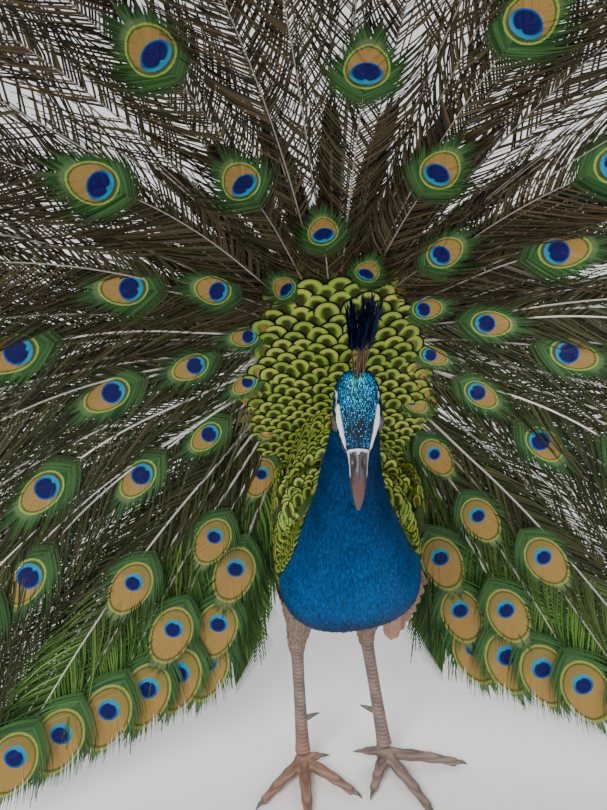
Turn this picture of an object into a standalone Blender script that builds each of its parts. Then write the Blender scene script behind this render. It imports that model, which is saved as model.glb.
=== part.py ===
"""A displaying peacock, life size, as a set of closed solids. Metres, +Z up, facing -Y."""
import math

import bmesh
import bpy
from mathutils import Vector

# Where the bird stands: the middle of its box is over the origin, the soles at z = 0
PLACE = (-0.0382264, 0.1592189, 0.0)
GAP = 0.0005  # between solids that touch on the bird

# Head: the point between the eyes, and how far the bill drops below level
HEAD_CENTRE = Vector((0.006, -0.187, 0.6165))
HEAD_TILT = math.radians(41)
EYE_RADIUS = 0.0066
EYE_SIDE = 0.0146
CREST_LENGTH = 0.062
CREST_SPREAD = math.radians(56)
CREST_PLUMES = 9

# Trunk
MIDLINE = 0.010  # the trunk stands a little to the right of the head
BODY_TURN = 0.09  # how far the right side of the breast is drawn back
BODY_ROLL = 0.07  # and raised

# Train: the root of the fan, its forward arch and the droop of the side feathers
FAN_ROOT = Vector((0.0, 0.150, 0.470))
FAN_TURN = math.radians(4.5)
FAN_LEAN = math.radians(8.5)
ARCH = 0.50
ARCH_RUN = 0.19
ARCH_EASE = 0.10
SIDE_ARCH = 0.10
DROOP = 1.30
DROOP_RUN = 0.38
TRAIN_REACH = [(1.30,), (1.27,), (1.19,), (1.02,), (0.62,), (0.40,)]  # every 30 degrees from upright
TRAIN_HALF_ANGLE = math.radians(150)
TRAIN_THICK = 0.0008
TRAIN_START = 0.062
TRAIN_TIPS = 44
TIP_DEPTH = 0.035
TRAIN_PANELS = 8

# Tail: the stiff brown feathers behind the train
TAIL_LENGTH = 0.40
TAIL_HALF_ANGLE = math.radians(88)
TAIL_FEATHERS = 16
TAIL_BEHIND = 0.014  # behind the train at its root
TAIL_DRAWN_BACK = 0.010  # and this much more at its tips
TAIL_THICK = 0.0012

# The scaly shield on the root of the train
SHIELD_UP = 0.136
SHIELD_SIDE = 0.094
SHIELD_DOWN = 0.235
SHIELD_HALF_ANGLE = math.radians(160)
SHIELD_THICK = 0.026  # at its middle
SHIELD_RIM = 0.0035  # and at its rim

# Wings
ARM_START = 6.10  # as places along the body
ARM_RUN = 1.75
QUILL_START = 6.35
QUILL_RUN = 1.35
QUILL_CLEAR = 0.0105  # from the side of the trunk to the quills
QUILL_LENGTH = 0.088
QUILL_THICK = 0.0014

# Legs
HOCK_LEFT = Vector((-0.042, 0.064, 0.152))
HOCK_RIGHT = Vector((0.036, 0.078, 0.152))
ANKLE_LEFT = Vector((-0.035, 0.017, 0.017))
ANKLE_RIGHT = Vector((0.060, 0.027, 0.017))
SHANK_RADIUS = 0.0063
HIP_SIDE = 0.039
TOE_RADIUS = 0.0056

COLOURS = {
    "head": (0.02, 0.16, 0.42), "neck": (0.01, 0.08, 0.42), "breast": (0.01, 0.09, 0.45),
    "trunk": (0.02, 0.05, 0.14), "vent": (0.16, 0.13, 0.10), "scales": (0.22, 0.33, 0.05),
    "wing": (0.45, 0.38, 0.28), "quills": (0.45, 0.25, 0.13), "train": (0.10, 0.16, 0.05),
    "tail": (0.30, 0.24, 0.17), "leg": (0.42, 0.36, 0.33), "thigh": (0.10, 0.08, 0.06),
    "claw": (0.55, 0.50, 0.45), "bill": (0.42, 0.38, 0.36), "eye": (0.01, 0.008, 0.006),
    "crest": (0.02, 0.08, 0.30),
}
ACROSS = Vector((1, 0, 0))


# ---------------------------------------------------------------- helpers
def clear_scene():
    for thing in list(bpy.data.objects):
        bpy.data.objects.remove(thing, do_unlink=True)


def collection(name):
    found = bpy.data.collections.new(name)
    bpy.context.scene.collection.children.link(found)
    return found


def material(kind, roughness=0.6):
    found = bpy.data.materials.get(kind)
    if found is None:
        found = bpy.data.materials.new(kind)
        found.use_nodes = True
        shader = found.node_tree.nodes["Principled BSDF"]
        shader.inputs["Base Color"].default_value = (*COLOURS[kind], 1.0)
        shader.inputs["Roughness"].default_value = roughness
        shader.inputs["Metallic"].default_value = 0.0
        found.diffuse_color = (*COLOURS[kind], 1.0)
    return found


def add_object(name, bm, kind, smooth=True):
    bmesh.ops.recalc_face_normals(bm, faces=bm.faces)
    mesh = bpy.data.meshes.new(name)
    bm.to_mesh(mesh)
    bm.free()
    thing = bpy.data.objects.new(name, mesh)
    PARTS.objects.link(thing)
    thing.parent = STAND
    thing.data.materials.append(material(kind, 0.25 if kind == "eye" else 0.6))
    if smooth:
        mesh.shade_smooth()
        mesh.set_sharp_from_angle(angle=math.radians(40))
    return thing


def loft(rings, cap_start=True, cap_end=True):
    """Skin a row of rings that all have the same number of points."""
    bm = bmesh.new()
    loops = [[bm.verts.new(point) for point in ring] for ring in rings]
    for lower, upper in zip(loops, loops[1:]):
        for i in range(len(lower)):
            j = (i + 1) % len(lower)
            bm.faces.new((lower[i], lower[j], upper[j], upper[i]))
    if cap_start:
        bm.faces.new(loops[0])
    if cap_end:
        bm.faces.new(loops[-1])
    return bm


def ease(t):
    t = min(max(t, 0.0), 1.0)
    return t * t * (3 - 2 * t)


def spline(points, t):
    """A smooth value through evenly numbered points, each a tuple of numbers."""
    last = len(points) - 1
    i = min(int(t), last - 1)
    f = t - i
    p0 = points[max(i - 1, 0)]
    p1 = points[i]
    p2 = points[i + 1]
    p3 = points[min(i + 2, last)]
    return tuple(
        0.5 * (2 * b + (c - a) * f + (2 * a - 5 * b + 4 * c - d) * f * f
               + (3 * b - a - 3 * c + d) * f ** 3)
        for a, b, c, d in zip(p0, p1, p2, p3))


def ellipse_ring(centre, side, up, half_side, half_up, count, power=2.0, half_down=None,
                 power_down=None):
    """An oval, which may be deeper and squarer below its middle than above."""
    ring = []
    for k in range(count):
        a = 2 * math.pi * k / count
        c, s = math.cos(a), math.sin(a)
        above = s > 0 or half_down is None
        reach = half_up if above else half_down
        bend = 2 / (power if above or power_down is None else power_down)
        x = math.copysign(abs(c) ** bend, c) * half_side
        y = math.copysign(abs(s) ** bend, s) * reach
        ring.append(centre + side * x + up * y)
    return ring


def tube(points, radii, sides, floor=None, squash=1.0):
    """Rings of the given radii along a path; points under the floor are laid flat on it."""
    rings = []
    for i, (point, radius) in enumerate(zip(points, radii)):
        before = points[max(i - 1, 0)]
        after = points[min(i + 1, len(points) - 1)]
        along = (after - before).normalized()
        side = along.cross(Vector((0, 0, 1)))
        if side.length < 0.2:
            side = ACROSS.copy()
        side.normalize()
        up = side.cross(along).normalized()
        ring = ellipse_ring(point, side, up, radius, radius * squash, sides)
        if floor is not None:
            for v in ring:
                v.z = max(v.z, floor)
        rings.append(ring)
    return rings


def grown(thing, gap):
    """A copy of a solid, swollen by the gap, to cut its neighbour with."""
    mesh = bpy.data.meshes.new_from_object(thing.evaluated_get(bpy.context.evaluated_depsgraph_get()))
    for v, n in zip(mesh.vertices, [v.normal.copy() for v in mesh.vertices]):
        v.co += n * gap
    cutter = bpy.data.objects.new("cut_" + thing.name, mesh)
    CUTTERS.objects.link(cutter)
    cutter.parent = STAND
    cutter.hide_render = True
    cutter.display_type = "WIRE"
    return cutter


def set_aside(thing):
    PARTS.objects.unlink(thing)
    CUTTERS.objects.link(thing)
    thing.hide_render = True
    thing.display_type = "WIRE"


def boolean(thing, operation, other):
    modifier = thing.modifiers.new(operation.lower() + "_" + other.name, "BOOLEAN")
    modifier.operation = operation
    modifier.solver = "EXACT"
    modifier.object = other


def cut(thing, *neighbours):
    """Cut a solid back from its neighbours, leaving the gap."""
    for other in neighbours:
        boolean(thing, "DIFFERENCE", grown(other, GAP))


def join(thing, *others):
    for other in others:
        boolean(thing, "UNION", other)
        set_aside(other)


# ---------------------------------------------------------------- neck, breast and trunk
# One long body from nape to vent: midline x, y, z, half width, depth below, depth above
BODY = [
    (0.006, -0.168, 0.626, 0.0175, 0.0180, 0.0180),
    (0.006, -0.152, 0.583, 0.0215, 0.0220, 0.0220),
    (0.007, -0.130, 0.527, 0.0252, 0.0270, 0.0270),
    (0.009, -0.106, 0.470, 0.0330, 0.0360, 0.0380),
    (0.010, -0.077, 0.410, 0.0470, 0.0480, 0.0540),
    (0.011, -0.040, 0.340, 0.0670, 0.0530, 0.0750),
    (0.011, 0.005, 0.318, 0.0725, 0.0700, 0.1080),
    (0.010, 0.050, 0.318, 0.0720, 0.0720, 0.1140),
    (0.008, 0.095, 0.330, 0.0640, 0.0700, 0.1060),
    (0.004, 0.140, 0.347, 0.0480, 0.0560, 0.0760),
    (0.002, 0.182, 0.354, 0.0300, 0.0360, 0.0400),
    (0.001, 0.212, 0.356, 0.0100, 0.0120, 0.0120),
]
# Where the body is parted, as places along it
BODY_NODES = [
    ("neck_upper", 0.30, 1.45, 5, 16, "neck"),
    ("neck_middle", 1.45, 2.60, 5, 16, "neck"),
    ("neck_lower", 2.60, 3.75, 5, 18, "neck"),
    ("breast", 3.75, 6.10, 8, 20, "breast"),
    ("trunk", 6.10, 8.60, 7, 20, "trunk"),
    ("vent", 8.60, 11.0, 6, 18, "vent"),
]


def body_frame(t):
    """Centre, side, up and forward directions of the body's cross section, and its reaches."""
    x, y, z, wide, below, above = spline(BODY, t)
    ahead = spline(BODY, min(t + 0.05, len(BODY) - 1))
    behind = spline(BODY, max(t - 0.05, 0.0))
    along = Vector((0, ahead[1] - behind[1], ahead[2] - behind[2])).normalized()
    turned = ease((t - 2.0) / 2.5)
    side = Vector((1, BODY_TURN * turned, BODY_ROLL * turned))
    side = (side - along * side.dot(along)).normalized()
    up = side.cross(along).normalized()
    return Vector((x, y, z)), side, up, along, (wide, below, above)


def body_ring(t, count, shift=0.0, swell=0.0):
    centre, side, up, along, (wide, below, above) = body_frame(t)
    return ellipse_ring(centre + along * shift, side, up, wide + swell, above + swell, count, 2.2,
                        below + swell, 2.5)


def make_body():
    made = {}
    for name, start, end, steps, count, kind in BODY_NODES:
        rings = []
        for k in range(steps + 1):
            shift = GAP / 2 if k == 0 else (-GAP / 2 if k == steps else 0.0)
            rings.append(body_ring(start + (end - start) * k / steps, count, shift))
        made[name] = add_object(name, loft(rings), kind)
    return made


def make_body_cutter():
    """The breast, trunk and vent as one solid, a little larger, to cut what lies against them."""
    rings = [body_ring(3.75 + 7.25 * k / 24, 20, swell=GAP * 1.6) for k in range(25)]
    cutter = add_object("cut_body", loft(rings), "trunk")
    set_aside(cutter)
    return cutter


# ---------------------------------------------------------------- head
def head_frame():
    forward = Vector((0, -math.cos(HEAD_TILT), -math.sin(HEAD_TILT)))
    up = Vector((0, -math.sin(HEAD_TILT), math.cos(HEAD_TILT)))
    return forward, up, ACROSS


def head_point(ahead, over, side=0.0):
    forward, up, across = head_frame()
    return HEAD_CENTRE + forward * ahead + up * over + across * side


# ahead of the eyes, over them, half width, half height up, half height down
SKULL = [
    (-0.0430, -0.0060, 0.0045, 0.0060, 0.0060),
    (-0.0395, -0.0050, 0.0125, 0.0145, 0.0125),
    (-0.0300, -0.0035, 0.0178, 0.0190, 0.0170),
    (-0.0160, -0.0020, 0.0198, 0.0195, 0.0185),
    (-0.0050, -0.0015, 0.0200, 0.0180, 0.0180),
    (0.0060, -0.0020, 0.0180, 0.0150, 0.0160),
    (0.0160, -0.0030, 0.0140, 0.0115, 0.0125),
    (0.0240, -0.0040, 0.0102, 0.0090, 0.0095),
]
# The same, for the two halves of the bill from its base to its tip
BILL_UPPER = [
    (0.0245, -0.0005, 0.0092, 0.0062),
    (0.0330, -0.0010, 0.0078, 0.0066),
    (0.0420, -0.0022, 0.0064, 0.0060),
    (0.0510, -0.0045, 0.0048, 0.0050),
    (0.0600, -0.0085, 0.0030, 0.0036),
    (0.0670, -0.0135, 0.0010, 0.0012),
]
BILL_LOWER = [
    (0.0245, -0.0062, 0.0082, 0.0062),
    (0.0340, -0.0072, 0.0068, 0.0050),
    (0.0440, -0.0088, 0.0050, 0.0038),
    (0.0540, -0.0112, 0.0028, 0.0024),
    (0.0590, -0.0128, 0.0010, 0.0010),
]


def make_head():
    forward, up, across = head_frame()
    rings = [ellipse_ring(head_point(a, o), across, up, w, hu, 16, 2.1, hd)
             for a, o, w, hu, hd in SKULL]
    head = add_object("head", loft(rings), "head")
    upper = [half_ring(head_point(a, o), across, up, w, h) for a, o, w, h in BILL_UPPER]
    lower = [half_ring(head_point(a, o - GAP), across, -up, w, h) for a, o, w, h in BILL_LOWER]
    bill_upper = add_object("bill_upper", loft(upper), "bill")
    bill_lower = add_object("bill_lower", loft(lower), "bill")
    cut(bill_lower, bill_upper)
    for side, name in ((-1, "eye_left"), (1, "eye_right")):
        bm = bmesh.new()
        bmesh.ops.create_uvsphere(bm, u_segments=10, v_segments=7, radius=EYE_RADIUS)
        bmesh.ops.translate(bm, verts=bm.verts, vec=head_point(0.0, 0.0, side * EYE_SIDE))
        eye = add_object(name, bm, "eye")
        cut(head, eye)
    return head


def half_ring(centre, across, up, wide, high, count=7):
    """The arched half of an ellipse with a flat underside."""
    ring = []
    for k in range(count):
        a = math.pi * k / (count - 1)
        ring.append(centre + across * math.cos(a) * wide + up * math.sin(a) * high)
    return ring


def make_crest(head):
    """A fan of fine plumes, as one thin plate with a lobe for each plume's tip."""
    root = head_point(-0.0290, 0.0120, 0.001)
    rise = Vector((0.08, 0.20, 1.0)).normalized()
    spread = Vector((0.30, 0.95, -0.19)).normalized()
    thick = rise.cross(spread).normalized()
    columns = CREST_PLUMES * 2
    rows = [0.0, 0.45, 0.78, 1.0]
    bm = bmesh.new()
    faces = {}
    for side in (-1, 1):
        for i in range(columns + 1):
            part = i / columns
            angle = (part - 0.5) * CREST_SPREAD
            lobe = abs(math.sin(math.pi * part * CREST_PLUMES))
            for j, row in enumerate(rows):
                reach = CREST_LENGTH * row * (1 - 0.14 * (1 - lobe) * ease((row - 0.7) / 0.3))
                reach = max(reach, 0.004)
                half = 0.0007 + 0.0009 * ease(row / 0.5)
                point = root + (rise * math.cos(angle) + spread * math.sin(angle)) * reach
                faces[side, i, j] = bm.verts.new(point + thick * side * half)
    plate_faces(bm, faces, columns, len(rows) - 1)
    crest = add_object("crest", bm, "crest", smooth=False)
    cut(crest, head)


def plate_faces(bm, verts, columns, rows):
    """Close a plate from two grids of points, keyed (side, column, row)."""
    for i in range(columns):
        for j in range(rows):
            for side in (-1, 1):
                bm.faces.new((verts[side, i, j], verts[side, i + 1, j],
                              verts[side, i + 1, j + 1], verts[side, i, j + 1]))
        for j in (0, rows):
            bm.faces.new((verts[-1, i, j], verts[-1, i + 1, j], verts[1, i + 1, j], verts[1, i, j]))
    for j in range(rows):
        for i in (0, columns):
            bm.faces.new((verts[-1, i, j], verts[-1, i, j + 1], verts[1, i, j + 1], verts[1, i, j]))


# ---------------------------------------------------------------- train and tail
def fan_point(angle, reach, front=0.0):
    """A place on the fan: angle from upright, distance along the feather, offset to the front."""
    steps = 24
    flat_x = flat_z = forward = 0.0
    step = reach / steps
    lean = 0.0
    for k in range(steps):
        s = (k + 0.5) * step
        turn = angle + DROOP * math.sin(angle) * DROOP_RUN * (1 - math.exp(-s / DROOP_RUN))
        arch = (ARCH + SIDE_ARCH * math.sin(angle / 2) ** 2) * (1 - math.exp(-s / ARCH_RUN))
        lean = arch - ARCH_EASE * ease((s - 0.55) / 0.55)
        flat_x += step * math.cos(lean) * math.sin(turn)
        flat_z += step * math.cos(lean) * math.cos(turn)
        forward += step * math.sin(lean)
    turn_end = angle + DROOP * math.sin(angle) * DROOP_RUN * (1 - math.exp(-reach / DROOP_RUN))
    out = (math.sin(lean) * math.sin(turn_end), math.cos(lean), math.sin(lean) * math.cos(turn_end))
    x = flat_x - out[0] * front
    y = -forward - out[1] * front
    z = flat_z - out[2] * front
    c, s = math.cos(FAN_LEAN), math.sin(FAN_LEAN)
    y, z = y * c - z * s, y * s + z * c
    c, s = math.cos(FAN_TURN), math.sin(FAN_TURN)
    return FAN_ROOT + Vector((x * c - y * s, x * s + y * c, z))


def train_reach(angle):
    """How long the train is at each angle: longest at the top, short beside the legs."""
    return spline(TRAIN_REACH, abs(angle) / math.radians(30))[0]


def fan_plate(name, kind, start, end, columns, rows, inner, outer, front, thick):
    bm = bmesh.new()
    verts = {}
    for i in range(columns + 1):
        angle = start + (end - start) * i / columns
        near, far = inner(angle), outer(angle)
        for j in range(rows + 1):
            share = (j / rows) ** 1.8
            reach = near + (far - near) * share
            for side in (-1, 1):
                offset = front(share) + side * thick(share) / 2
                verts[side, i, j] = bm.verts.new(fan_point(angle, reach, offset))
    plate_faces(bm, verts, columns, rows)
    return add_object(name, bm, kind)


def make_train():
    panels = []
    per_panel = TRAIN_TIPS * 2 // TRAIN_PANELS
    step = 2 * TRAIN_HALF_ANGLE / (TRAIN_TIPS * 2)
    for n in range(TRAIN_PANELS):
        first = n * per_panel
        slit = 0.0006

        def outer(angle):
            column = (angle + TRAIN_HALF_ANGLE) / step
            notch = 0.5 - 0.5 * math.cos(math.pi * column)
            return train_reach(angle) * (1 - TIP_DEPTH * (1 - notch))

        start = -TRAIN_HALF_ANGLE + first * step + slit / TRAIN_START / 2
        end = -TRAIN_HALF_ANGLE + (first + per_panel) * step - slit / TRAIN_START / 2
        side = "left" if n < TRAIN_PANELS // 2 else "right"
        rank = TRAIN_PANELS // 2 - n if side == "left" else n - TRAIN_PANELS // 2 + 1
        panels.append(fan_plate("train_%s_%d" % (side, rank), "train", start, end, per_panel, 7,
                                lambda a: TRAIN_START, outer, lambda s: 0.0,
                                lambda s: TRAIN_THICK))
    return panels


def make_tail():
    for side, start, end in (("left", -TAIL_HALF_ANGLE, -0.006), ("right", 0.006, TAIL_HALF_ANGLE)):

        def outer(angle):
            feather = abs(math.sin(angle / TAIL_HALF_ANGLE * math.pi * TAIL_FEATHERS / 2))
            return TAIL_LENGTH * (0.955 + 0.045 * feather) * (1 - 0.12 * abs(angle) / TAIL_HALF_ANGLE)

        fan_plate("tail_" + side, "tail", start, end, TAIL_FEATHERS, 3, lambda a: TRAIN_START, outer,
                  lambda s: -TAIL_BEHIND - TAIL_DRAWN_BACK * s, lambda s: TAIL_THICK)


def make_rump():
    """The root that train and tail grow from, behind the scaly back."""
    bm = bmesh.new()
    bmesh.ops.create_uvsphere(bm, u_segments=10, v_segments=6, radius=1.0)
    for v in bm.verts:
        v.co = FAN_ROOT + Vector((v.co.x * 0.056, 0.006 + v.co.y * 0.030, v.co.z * 0.056 - 0.002))
    return add_object("rump", bm, "scales")


def make_scales():
    """The shield of scale feathers that stands up behind the neck, on the root of the train."""

    def outer(angle):
        high = SHIELD_UP if math.cos(angle) > 0 else SHIELD_DOWN
        return 1 / math.hypot(math.sin(angle) / SHIELD_SIDE, math.cos(angle) / high)

    return fan_plate("back_scales", "scales", -SHIELD_HALF_ANGLE, SHIELD_HALF_ANGLE, 24, 3,
                     lambda a: 0.012, outer, lambda s: 0.0155 - 0.0115 * s,
                     lambda s: SHIELD_THICK - (SHIELD_THICK - SHIELD_RIM) * s)


# ---------------------------------------------------------------- wings
def make_wing(side, name, body):
    """A drooping wing: the scaly arm along the trunk, and the chestnut quills spread below it."""
    arm_rings = []
    for k in range(6):
        t = k / 5
        centre, across, up, _, (wide, _, _) = body_frame(ARM_START + ARM_RUN * t)
        tall = 0.008 + 0.036 * math.sin(math.pi * (0.12 + 0.72 * t)) ** 0.8
        middle = centre + across * side * (wide * 0.96) + up * (0.044 - 0.022 * t)
        arm_rings.append(ellipse_ring(middle, across, up, 0.0070, tall, 10))
    arm = add_object("wing_" + name, loft(arm_rings), "wing")
    bm = bmesh.new()
    verts = {}
    columns, rows = 12, 3
    for i in range(columns + 1):
        share = i / columns
        centre, across, up, _, (wide, _, _) = body_frame(QUILL_START + QUILL_RUN * share)
        root = centre + across * side * (wide + QUILL_CLEAR) - up * 0.016
        swing = math.radians(2 + 38 * share)
        tip = abs(math.sin(math.pi * share * columns / 2))
        for j in range(rows + 1):
            run = QUILL_LENGTH * (1 + 0.25 * share) * j / rows * (1 - 0.06 * (1 - tip) * (j == rows))
            out = side * (0.012 - 0.034 * share) * (j / rows) ** 1.5
            point = root + Vector((out, run * math.sin(swing), -run * math.cos(swing)))
            for face in (-1, 1):
                verts[face, i, j] = bm.verts.new(point + ACROSS * face * QUILL_THICK / 2)
    plate_faces(bm, verts, columns, rows)
    add_object("quills_" + name, bm, "quills", smooth=False)
    boolean(arm, "DIFFERENCE", body)


# ---------------------------------------------------------------- legs and feet
def make_leg(name, hock, ankle, toes, hind, body):
    hip = Vector((MIDLINE + math.copysign(HIP_SIDE, hock.x), hock.y - 0.034, 0.300))
    thigh_path = [hip.lerp(hock, t) for t in (0.0, 0.25, 0.5, 0.75, 0.93)]
    thigh = add_object("thigh_" + name, loft(tube(thigh_path, (0.036, 0.034, 0.027, 0.019, 0.0125), 12)),
                       "thigh")
    boolean(thigh, "DIFFERENCE", body)
    start = hock + (hip - hock).normalized() * 0.004
    path = [start, hock + (ankle - hock) * 0.05, hock + (ankle - hock) * 0.13,
            hock + (ankle - hock) * 0.45, hock + (ankle - hock) * 0.80, ankle + (hock - ankle) * 0.075]
    radii = [SHANK_RADIUS * f for f in (1.35, 1.50, 1.08, 0.95, 1.02, 1.12)]
    shank = add_object("shank_" + name, loft(tube(path, radii, 10)), "leg")
    cut(shank, thigh)
    inward = 1 if name == "left" else -1
    base = hock.lerp(ankle, 0.66)
    spur_path = [base + Vector((inward * x, y, z)) for x, y, z in
                 ((0.0078, 0.001, 0.0), (0.016, 0.004, 0.0005), (0.023, 0.005, 0.003),
                  (0.0275, 0.005, 0.006))]
    spur = add_object("spur_" + name, loft(tube(spur_path, (0.0038, 0.0030, 0.0018, 0.0005), 8)), "claw")
    cut(spur, shank)
    make_foot(name, ankle, toes, hind, shank)


def toe_path(ankle, tip, count, lift):
    """Joints of a toe: down from the ankle, then along the floor, with knuckles raised a little."""
    start = Vector((ankle.x, ankle.y, 0.011))
    points = []
    for k in range(count + 1):
        t = k / count
        point = start.lerp(Vector((tip.x, tip.y, TOE_RADIUS * 0.72)), t)
        point.z += lift * math.sin(math.pi * t)
        points.append(point)
    points[-2].z = points[-1].z
    return points


def make_claw(name, start, along, length, radius):
    """A curved nail that begins just clear of the end of its toe."""
    path = [start + along * (GAP + length * t) - Vector((0, 0, drop))
            for t, drop in ((0.0, 0.0), (0.35, 0.0), (0.72, 0.0007), (1.0, 0.0022))]
    radii = [radius * f for f in (1.0, 0.86, 0.52, 0.15)]
    add_object(name, loft(tube(path, radii, 6, floor=0.0002)), "claw")


def make_foot(name, ankle, toes, hind, shank):
    bm = bmesh.new()
    bmesh.ops.create_uvsphere(bm, u_segments=10, v_segments=6, radius=1.0)
    for v in bm.verts:
        v.co = Vector((ankle.x + v.co.x * 0.0098, ankle.y + v.co.y * 0.0098,
                       max(0.0098 + v.co.z * 0.0105, 0.0)))
    foot = add_object("foot_" + name, bm, "leg")
    digits = []
    for label, tip in toes.items():
        digit = (tip - Vector((ankle.x, ankle.y, 0))).normalized()
        flesh = tip - digit * 0.0135
        path = toe_path(ankle, flesh, 4, 0.0030)
        radii = [TOE_RADIUS * f for f in (1.20, 1.05, 1.02, 0.92, 0.72)]
        toe = add_object("toe_%s_%s" % (name, label), loft(tube(path, radii, 6, floor=0.0)), "leg")
        digits.append(toe)
        end = path[-1]
        make_claw("claw_%s_%s" % (name, label), end, digit, 0.0130, 0.0033)
    root = Vector((ankle.x, ankle.y, 0.016))
    end = root.lerp(hind, 0.66)
    toe = add_object("toe_%s_hind" % name,
                     loft(tube([root, root.lerp(end, 0.4), root.lerp(end, 0.75), end],
                               [TOE_RADIUS * f for f in (0.95, 0.90, 0.82, 0.62)], 8)), "leg")
    digits.append(toe)
    make_claw("claw_%s_hind" % name, end, (hind - root).normalized(), 0.0120, 0.0029)
    join(foot, *digits)
    cut(foot, shank)


def main():
    made = make_body()
    body = make_body_cutter()
    head = make_head()
    cut(made["neck_upper"], head)
    make_crest(head)
    rump = make_rump()
    scales = make_scales()
    boolean(scales, "DIFFERENCE", body)
    cut(rump, scales)
    boolean(rump, "DIFFERENCE", body)
    make_train()
    make_tail()
    for side, name in ((-1, "left"), (1, "right")):
        make_wing(side, name, body)
    make_leg("left", HOCK_LEFT, ANKLE_LEFT,
             {"outer": Vector((-0.089, -0.047, 0)), "middle": Vector((-0.028, -0.083, 0)),
              "inner": Vector((0.032, -0.031, 0))}, Vector((-0.006, 0.026, 0.011)), body)
    make_leg("right", HOCK_RIGHT, ANKLE_RIGHT,
             {"outer": Vector((0.156, 0.018, 0)), "middle": Vector((0.112, -0.058, 0)),
              "inner": Vector((0.040, -0.034, 0))}, Vector((0.021, 0.022, 0.021)), body)


clear_scene()
PARTS = collection("peacock")
CUTTERS = collection("cutters")
STAND = bpy.data.objects.new("stand_point", None)
PARTS.objects.link(STAND)
STAND.location = PLACE
main()
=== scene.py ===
import math

import bmesh
import bpy
import numpy as np
from mathutils import Matrix, Vector


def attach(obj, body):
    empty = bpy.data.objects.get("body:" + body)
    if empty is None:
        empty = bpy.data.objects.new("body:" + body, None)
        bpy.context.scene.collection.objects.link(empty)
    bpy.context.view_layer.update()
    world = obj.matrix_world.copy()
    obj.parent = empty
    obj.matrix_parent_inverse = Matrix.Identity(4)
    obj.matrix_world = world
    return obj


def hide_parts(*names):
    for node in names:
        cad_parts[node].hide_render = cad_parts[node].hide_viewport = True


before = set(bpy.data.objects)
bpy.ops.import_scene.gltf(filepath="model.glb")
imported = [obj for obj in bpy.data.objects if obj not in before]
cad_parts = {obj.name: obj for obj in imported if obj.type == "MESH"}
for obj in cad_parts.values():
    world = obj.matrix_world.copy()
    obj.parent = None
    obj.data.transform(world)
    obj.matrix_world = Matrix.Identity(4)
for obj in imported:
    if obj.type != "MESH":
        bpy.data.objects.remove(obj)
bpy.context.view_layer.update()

standShift = np.array([-0.0382264, 0.1592189, 0.0])  # from the bird's own frame to the row's
chance = np.random.default_rng(11)


# small tools for meshes

def ease(t):
    t = np.clip(t, 0.0, 1.0)
    return t * t * (3 - 2 * t)


def unit(v):
    return v / np.maximum(np.linalg.norm(v, axis=-1, keepdims=True), 1e-9)


def linked(name, data):
    thing = bpy.data.objects.new(name, data)
    bpy.context.scene.collection.objects.link(thing)
    return thing


def addLayer(mesh, key, values, kind="FLOAT"):
    layer = mesh.attributes.new(key, kind, "POINT")
    layer.data.foreach_set("color" if kind == "FLOAT_COLOR" else "value", np.asarray(values, np.float32).ravel())


def withAlpha(colour):
    return np.concatenate([colour, np.ones(colour.shape[:-1] + (1,))], axis=-1)


def corners(bm):
    return np.array([v.co for v in bm.verts])


def place(bm, points):
    for v, point in zip(bm.verts, points):
        v.co = point


def birdCorners(mesh):
    # a finished mesh's corners, back in the bird's own frame
    co = np.zeros(len(mesh.vertices) * 3)
    mesh.vertices.foreach_get("co", co)
    return co.reshape(-1, 3) - standShift


def bladeAxes(shape):
    return shape[0][:, 0][None], shape[0][:, 1][None]


def bladeShape(across, along):
    # a flat strip or leaf: u runs -1..1 across it, v runs 0..1 from its root to its tip
    bm = bmesh.new()
    bmesh.ops.create_grid(bm, x_segments=across, y_segments=along, size=0.5)
    bm.verts.index_update()
    flat = np.array([v.co[:2] for v in bm.verts])
    quads = np.array([[v.index for v in f.verts] for f in bm.faces])
    bm.free()
    return flat * (2.0, 1.0) + (0.0, 0.5), quads


def addPiece(name, mesh, material, slotName, replaced=()):
    piece = linked(name, mesh)
    mesh.materials.append(material)
    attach(piece, "root")
    if replaced:
        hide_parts(*replaced)
    return piece


def layBlades(name, shape, points, bakeAt, layers):
    # many copies of one blade as a single mesh; points is (copies, corners, 3)
    flat, quads = shape
    copies, corners = points.shape[:2]
    mesh = bpy.data.meshes.new(name)
    mesh.vertices.add(copies * corners)
    mesh.vertices.foreach_set("co", (points + standShift).astype(np.float32).ravel())
    faces = (quads[None] + (np.arange(copies) * corners)[:, None, None]).reshape(-1, 4)
    mesh.loops.add(faces.size)
    mesh.loops.foreach_set("vertex_index", faces.ravel().astype(np.int32))
    mesh.polygons.add(len(faces))
    mesh.polygons.foreach_set("loop_start", (np.arange(len(faces)) * 4).astype(np.int32))
    patch = (flat - (0.0, 0.5)) * (0.0015, 0.003)  # each blade is a small patch of the bake map
    layers = {key: np.asarray(value) for key, value in layers.items()}
    uvs = {"OFBake": bakeAt[:, None, :] + patch[None]}
    uvs.update((key, value) for key, value in layers.items() if value.ndim == 3 and value.shape[2] == 2)
    for key, value in uvs.items():
        layer = mesh.uv_layers.new(name=key)
        layer.data.foreach_set("uv", value.reshape(-1, 2)[faces.ravel()].astype(np.float32).ravel())
    for key, value in layers.items():
        if value.ndim == 3 and value.shape[2] == 3:
            addLayer(mesh, key, withAlpha(value), "FLOAT_COLOR")
        elif value.ndim <= 2:
            addLayer(mesh, key, np.broadcast_to(value.reshape(copies, -1), (copies, corners)))
    mesh.update(calc_edges=True)
    mesh.shade_smooth()
    return mesh


# small tools for materials

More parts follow.
